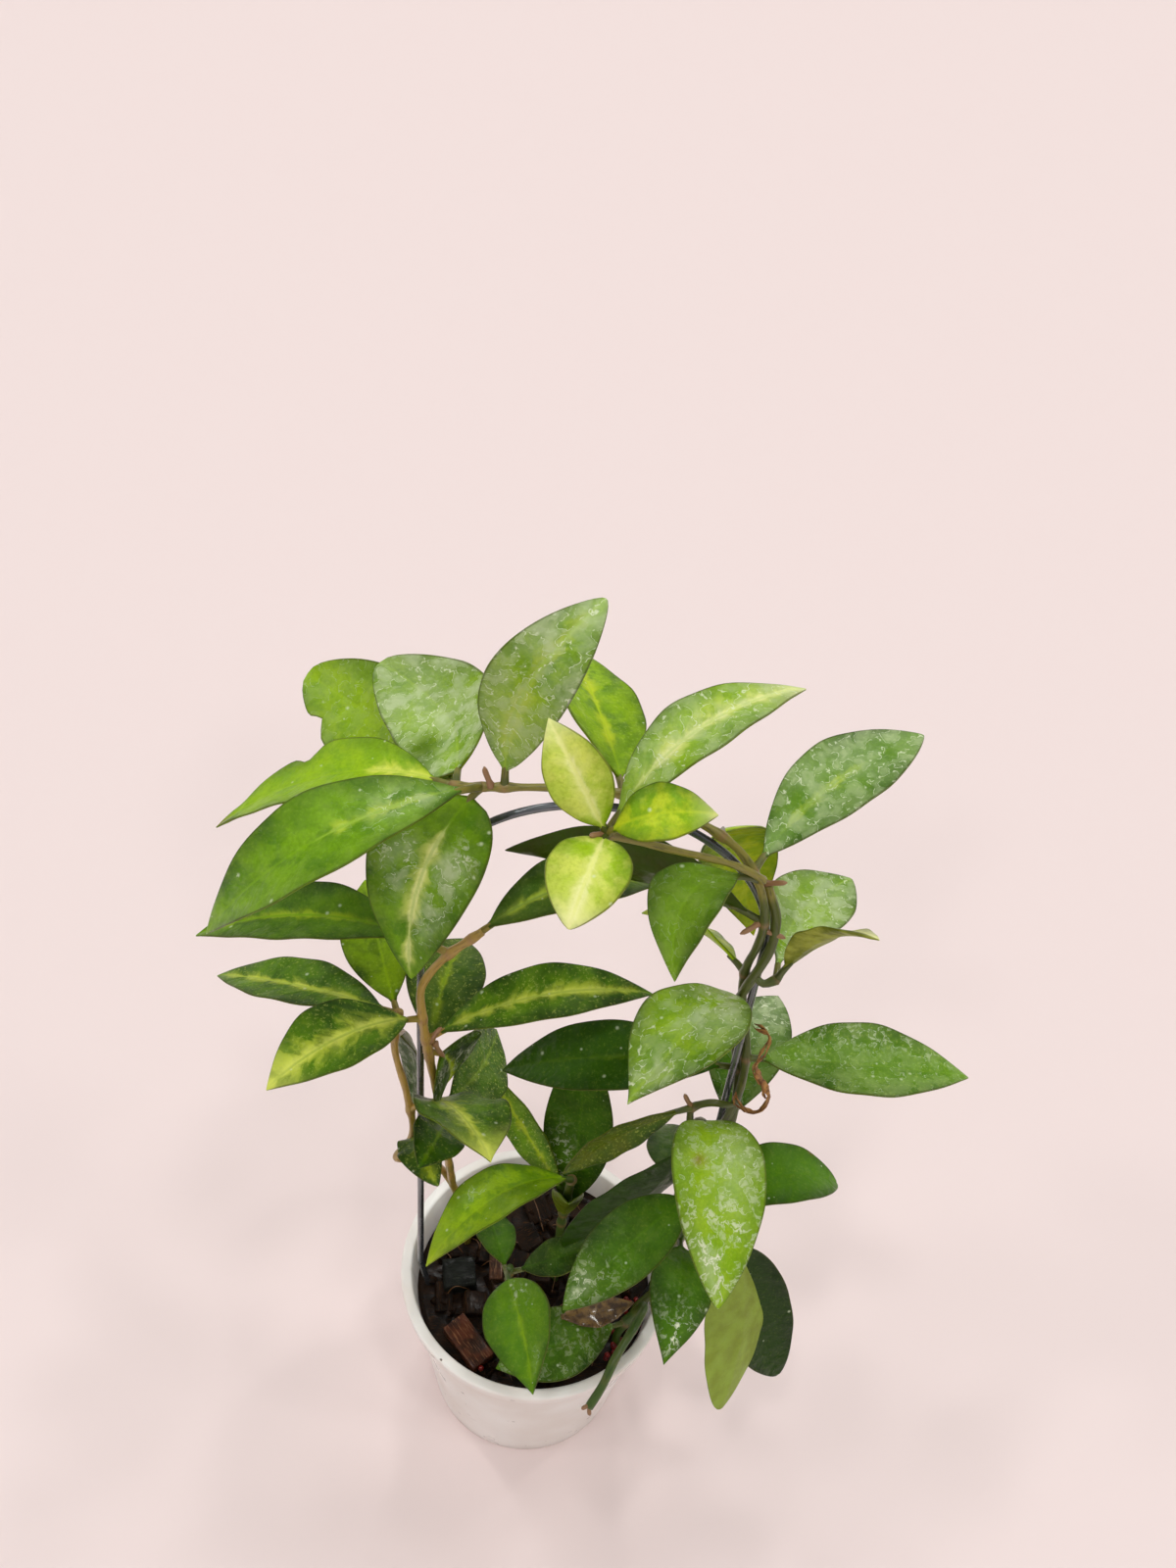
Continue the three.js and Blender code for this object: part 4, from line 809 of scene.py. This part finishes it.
def addPot():
    profile, sides = potProfile(), potSize["sides"]
    faces = ringFaces(len(profile), sides, closed=True)
    part = dict(points=ringPoints(profile, sides), faces=faces, marks={})
    pot = addPiece("pot_moulded", part, potPlastic(), "pot")
    cutter = drainCutter()
    cut = pot.modifiers.new("drains", "BOOLEAN")
    cut.object = cutter
    cut.operation = "DIFFERENCE"
    bpy.context.view_layer.update()
    drilled = bpy.data.meshes.new_from_object(pot.evaluated_get(bpy.context.evaluated_depsgraph_get()))
    pot.modifiers.remove(cut)
    pot.data = drilled
    bpy.data.objects.remove(cutter)
    print("pot moulded,", len(drilled.polygons), "faces")


addPot()

# The potting mix and what lies on it.
mixSize = dict(top=52, chunks=26, spread=28, seed=41, turn=137.5, gap=0.3, rings=16, sides=72, crumbs=150,
               crumbSpread=32)
fibres = dict(count=34, seed=97, spread=30, edge=32, thick=(0.17, 0.1))
pellets = dict(count=34, seed=23, radius=0.85, edge=34.3, band=6.5, start=-4, sweep=40,
               strays=[(14.5, -7.5), (-12.4, -29.4), (12.2, -8.9)], high=2.4)
squareChunk = dict(size=[10, 9, 9], place=[-22.5, -2, 53.5], turn=[8, -4, 12])
redChip = dict(size=[15, 7.5, 5], place=[-17, -22.5, 54.5], turn=[6, 5, -45])
thinChip = dict(size=[4, 11, 3], place=[-12, 3, 54.5], turn=[3, -8, 6])


def seededRandom(seed):
    state = seed
    while True:
        state = (state * 16807) % 2147483647
        yield state / 2147483647


def roughBlock(size, place, turn, seed, bevel=0.12, rough=0.05, cuts=3):
    # a chunk with worn corners and an uneven skin
    work = bmesh.new()
    bmesh.ops.create_cube(work, size=1)
    for vertex in work.verts:
        vertex.co = Vector([c * s for c, s in zip(vertex.co, size)])
    low = min(size)
    bmesh.ops.bevel(work, geom=work.edges[:], offset=low * bevel, segments=2, profile=0.6, affect="EDGES")
    long = [edge for edge in work.edges if edge.calc_length() > low * 0.35]
    bmesh.ops.subdivide_edges(work, edges=long, cuts=cuts, use_grid_fill=True)
    spinX, spinY, spinZ = (Matrix.Rotation(math.radians(angle), 3, axis) for angle, axis in zip(turn, "XYZ"))
    spin = spinZ @ spinY @ spinX
    points, local = [], []
    work.normal_update()
    for vertex in work.verts:
        shift = noise.noise(vertex.co * 0.5 + Vector((seed * 3.1, seed, 0)))
        shift += 0.5 * noise.noise(vertex.co * 1.3 + Vector((seed, 0, seed)))
        where = vertex.co + vertex.normal * (min(shift, 0.25) - 0.25) * low * rough * 2
        points.append((spin @ where + Vector(place))[:])
        local.append((where + Vector((seed * 11.0, 0, 0)))[:])
    faces = [[v.index for v in face.verts] for face in work.faces]
    work.free()
    return dict(points=np.array(points), faces=faces, marks=dict(place=np.array(local)))


# Wet coir husk and bark: near-black brown, coarse fibres 0.4 mm apart, glossy where water sits.
def barkChip(name, deep, lit, fibre, along=(0.12, 1.0, 1.0), wet=0.35):
    material, add, surface = newMaterial(name, IOR=1.45, Specular_IOR_Level=0.15, Coat_Weight=wet,
                                         Coat_Roughness=0.2)
    place = add("Attribute", attribute_name="place", out="Vector")
    stretched = add("Mapping", Vector=place, Scale=along)
    grain = add("TexNoise", Vector=stretched, Scale=2.4, Detail=5.0, Roughness=0.65)
    patch = add("TexNoise", Vector=place, Scale=0.25, Detail=3.0)
    tone = add("mix", add("ease", patch, 0.35, 0.65), deep, lit)
    tone = add("mix", add("ease", grain, 0.52, 0.68, 0.0, 0.8), tone, fibre)
    feed(surface, {"Base Color": tone, "Roughness": add("ease", grain, 0.35, 0.65, 0.35, 0.75),
                   "Normal": add("Bump", Height=grain, Strength=0.8, Distance=0.0006)})
    return material


def mixBed():
    top, rings, sides, gap = (mixSize[key] for key in ("top", "rings", "sides", "gap"))
    wall, foot = potSize["wall"], potSize["foot"]
    low = wall + gap
    outline = [(insideAt(top) * k / rings, top) for k in range(1, rings)] + [(insideAt(top) - gap, top - 0.2)]
    outline += [(insideAt(z) - gap, z) for z in (40, 25, 10, wall + foot + 0.3)]
    outline += [(potSize["base"] - foot - wall - 0.3, low), (12, low)]
    points = ringPoints(outline, sides)
    for point in points:
        x, y, z = point
        bump = noise.noise(Vector((x, y, 0)) * 0.22) * 0.9 + noise.noise(Vector((x, y, 9)) * 0.7) * 0.4
        point[2] += bump - 0.5 if z == top else 0
    faces = ringFaces(len(outline), sides)
    middle = len(points)
    last = middle - sides
    for k in range(sides):
        m = (k + 1) % sides
        faces += [[m, k, middle], [last + k, last + m, middle + 1]]
    points += [[0, 0, top], [0, 0, low]]
    return dict(points=np.array(points, float), faces=faces, marks=dict(place=np.array(points, float)))


def addMix():
    draw = seededRandom(mixSize["seed"])
    parts = [mixBed()]
    for i in range(mixSize["chunks"]):
        angle = i * math.radians(mixSize["turn"])
        radius = mixSize["spread"] * math.sqrt((i + 0.5) / mixSize["chunks"])
        size = [5 + 4 * next(draw), 4 + 4 * next(draw), 4 + 2 * next(draw)]
        place = [radius * math.cos(angle), radius * math.sin(angle), mixSize["top"] - 1 + 1.5 * next(draw)]
        turn = [50 * (next(draw) - 0.5), 50 * (next(draw) - 0.5), 180 * next(draw)]
        parts.append(roughBlock(size, place, turn, i + 1))
    for i in range(mixSize["crumbs"]):
        angle, radius = next(draw) * 2 * math.pi, mixSize["crumbSpread"] * math.sqrt(next(draw))
        size = [1.5 + 3.5 * next(draw), 1 + 2 * next(draw), 1 + next(draw)]
        place = [radius * math.cos(angle), radius * math.sin(angle), mixSize["top"] + 1.2 * next(draw)]
        turn = [60 * next(draw), 60 * next(draw), 180 * next(draw)]
        parts.append(roughBlock(size, place, turn, i + 60, cuts=1))
    husk = barkChip("wetCoirHusk", "#0e0703", "#26160a", "#4c3018", wet=0.1)
    addPiece("potting_mix_husk", joinParts(parts), husk, "potting_mix")
    print("potting mix filled,", len(parts), "parts")


def addFibres():
    # thin coir hairs that stand out of the mix
    draw = seededRandom(fibres["seed"])
    parts = []
    for i in range(fibres["count"]):
        angle, radius = next(draw) * 2 * math.pi, fibres["spread"] * math.sqrt(next(draw))
        x, y, z = radius * math.cos(angle), radius * math.sin(angle), mixSize["top"] + 0.5
        lean, length, high = next(draw) * 2 * math.pi, 5 + 8 * next(draw), 1.5 + 5 * next(draw) ** 2
        end = [x + length * math.cos(lean), y + length * math.sin(lean)]
        end = [c * min(1, fibres["edge"] / math.hypot(*end)) for c in end]
        middle = [(x + end[0]) / 2 + 2 * next(draw) - 1, (y + end[1]) / 2 + 2 * next(draw) - 1]
        line = smoothCurve([[x, y, z], [*middle, z + high + 1.5], [*end, z + high * next(draw)]], 1.0)
        parts.append(tubePart(line, np.linspace(*fibres["thick"], len(line)), 6, i))
    hair = vineStem("driedCoirFibre", "#6e4a2a", "#8a6238", "#4a2e18")
    addPiece("coir_fibres", joinParts(parts), hair, "potting_mix")


# Slow feed: round glossy pellets with a red resin skin, 1.7 mm across.
def addPellets():
    material, add, surface = newMaterial("redResinPellet", Roughness=0.3, IOR=1.5)
    cloud = add("TexNoise", Vector=add("Attribute", attribute_name="place", out="Vector"), Scale=0.6)
    feed(surface, {"Base Color": add("mix", add("ease", cloud, 0.35, 0.65), "#5e0d08", "#8f1a12")})
    parts = []
    draw = seededRandom(pellets["seed"])
    rows = np.radians([8, 35, 62, 90, 118, 145, 172])
    for i in range(pellets["count"]):  # a clump by the right wall, in two layers, and a few strays
        angle = math.radians(pellets["start"] - pellets["sweep"] * next(draw))
        radius = pellets["edge"] - pellets["band"] * next(draw) ** 1.5
        x, y, high = radius * math.cos(angle), radius * math.sin(angle), 1.3 + 2.3 * next(draw)
        if i < len(pellets["strays"]):
            (x, y), high = pellets["strays"][i], pellets["high"]
        line = [[x, y, mixSize["top"] + high - pellets["radius"] * math.cos(a)] for a in rows]
        parts.append(tubePart(line, pellets["radius"] * np.sin(rows), 12, i))
    addPiece("feed_pellets", joinParts(parts), material, "potting_mix")


def addChip(name, node, chip, material, seed):
    part = roughBlock(chip["size"], chip["place"], chip["turn"], seed, bevel=0.1, rough=0.03, cuts=4)
    addPiece(name, part, material, node)


addMix()
addFibres()
addPellets()
addChip("husk_chunk_dark", "husk_chunk_square", squareChunk,
        barkChip("mossyHuskCube", "#0d0e0a", "#1b1e18", "#333830", wet=0.12), 5)
addChip("bark_chip_red", "husk_chip_red", redChip,
        barkChip("redPineBark", "#2c130a", "#5c2e1b", "#a2714f", along=(0.1, 1.6, 1.6)), 7)
addChip("bark_chip_thin", "husk_chip_thin", thinChip,
        barkChip("brownPineBark", "#2a160b", "#58331d", "#a87c56", along=(1.6, 0.1, 1.6)), 9)

# The dried tendril is two flat ragged strips, each with its shift and half its width.
tendril = dict(
    route=[[43.9, -4.5, 193], [47.5, -8, 194], [46.5, -11, 191], [45.5, -11, 185], [48.5, -11, 179],
           [50.5, -11, 173], [49.5, -11, 169], [46.5, -11, 168], [44, -11, 170], [42.5, -11, 175]],
    strips=[((0.3, 0, 0.3), 0.85), ((-0.4, 0.3, -0.2), 0.6)], step=0.6, sides=10, flat=0.3)
fallenLeaf = dict(root=[8, -21, 73.5], tip=[29, -15, 75], wide=10, arch=-0.2, cup=0.5, petiole=1, seed=99,
                  wave=0.6)


# Dried leaf tissue: thin, brown and papery, with patches 2 mm and creases 0.6 mm apart.
def driedPaper(name, deep, lit, dark, wet):
    material, add, surface = newMaterial(name, Roughness=0.6, IOR=1.45, Coat_Weight=wet, Coat_Roughness=0.15)
    place = add("Attribute", attribute_name="place", out="Vector")
    patch = add("TexNoise", Vector=place, Scale=0.5, Detail=4.0)
    grain = add("TexNoise", Vector=place, Scale=1.7, Detail=4.0)
    tone = add("mix", add("ease", patch, 0.35, 0.65), deep, lit)
    tone = add("mix", add("ease", grain, 0.55, 0.7, 0.0, 0.7), tone, dark)
    feed(surface, {"Base Color": tone, "Normal": add("Bump", Height=grain, Strength=0.8, Distance=0.0005)})
    return material


def addTendril():
    line = smoothCurve(tendril["route"], tendril["step"])
    order = np.arange(len(line))
    ends = np.clip(np.minimum(order, order[::-1]) / 3, 0.25, 1)
    strips = []
    for number, (shift, wide) in enumerate(tendril["strips"]):
        steps = order + number * 5
        size = wide + 0.3 * np.sin(steps * 0.7) + 0.12 * np.sin(steps * 2.3)
        sway = np.stack([np.sin(steps * 0.5), np.cos(steps * 0.37), np.sin(steps * 0.61)], axis=1) * 0.25
        strips.append(tubePart(line + np.array(shift) + sway, size * ends, tendril["sides"], 3 + number,
                               flat=tendril["flat"]))
    paper = driedPaper("paperyDriedStalk", "#74461a", "#b5813f", "#3a200c", 0.0)
    addPiece("dried_tendril_paper", joinParts(strips), paper, "dried_tendril")


def addFallenLeaf():
    part = bladePart({**leafForm, **leafLook, **fallenLeaf})
    part["marks"] = dict(place=part["marks"]["place"])
    paper = driedPaper("glossyDeadLeaf", "#4e3312", "#8c6a34", "#2c1b0a", 0.8)
    addPiece("fallen_leaf_curled", part, paper, "fallen_leaf")


addTendril()
addFallenLeaf()
print("dried pieces laid")

# A pale paper floor, 9 m to each side, under a soft even sky, with two rings of small bright lamps
# overhead: how high they hang, where the first one is and how wide they are, in degrees.
studio = dict(floor="#ebdad8", floorSize=9, sky="#f6f6f4", skyLight=0.37)
lampRings = [dict(count=7, up=42, first=38, wide=2.6, soft=0.8, light=34),
             dict(count=5, up=70, first=20, wide=2.6, soft=0.8, light=42)]


def addSky():
    world = bpy.data.worlds.new("studio")
    world.use_nodes = True
    add = partial(addNode, world.node_tree)
    way = add("TexCoord", out="Generated")
    light = studio["skyLight"]
    for ring in lampRings:
        up = math.radians(ring["up"])
        outer, inner = (math.cos(math.radians(ring["wide"] + soft)) for soft in (ring["soft"], -ring["soft"]))
        for i in range(ring["count"]):
            turn = math.radians(ring["first"] + 360 * i / ring["count"])
            aim = (math.cos(turn) * math.cos(up), math.sin(turn) * math.cos(up), math.sin(up))
            facing = add("VectorMath", way, aim, operation="DOT_PRODUCT", out="Value")
            light = add("plus", add("ease", facing, outer, inner, 0.0, ring["light"]), light)
    feed(world.node_tree.nodes["Background"], {"Color": studio["sky"], "Strength": light})
    bpy.context.scene.world = world


def addFloor():
    paper = newMaterial("palePaperFloor", Roughness=0.9, Base_Color=studio["floor"],
                        Specular_IOR_Level=0.0)[0]
    half = studio["floorSize"]
    mesh = bpy.data.meshes.new("floor")
    corners = [(-half, -half, 0), (half, -half, 0), (half, half, 0), (-half, half, 0)]
    mesh.from_pydata(corners, [], [(0, 1, 2, 3)])
    mesh.materials.append(paper)
    addObject("floor", mesh)


addSky()
addFloor()
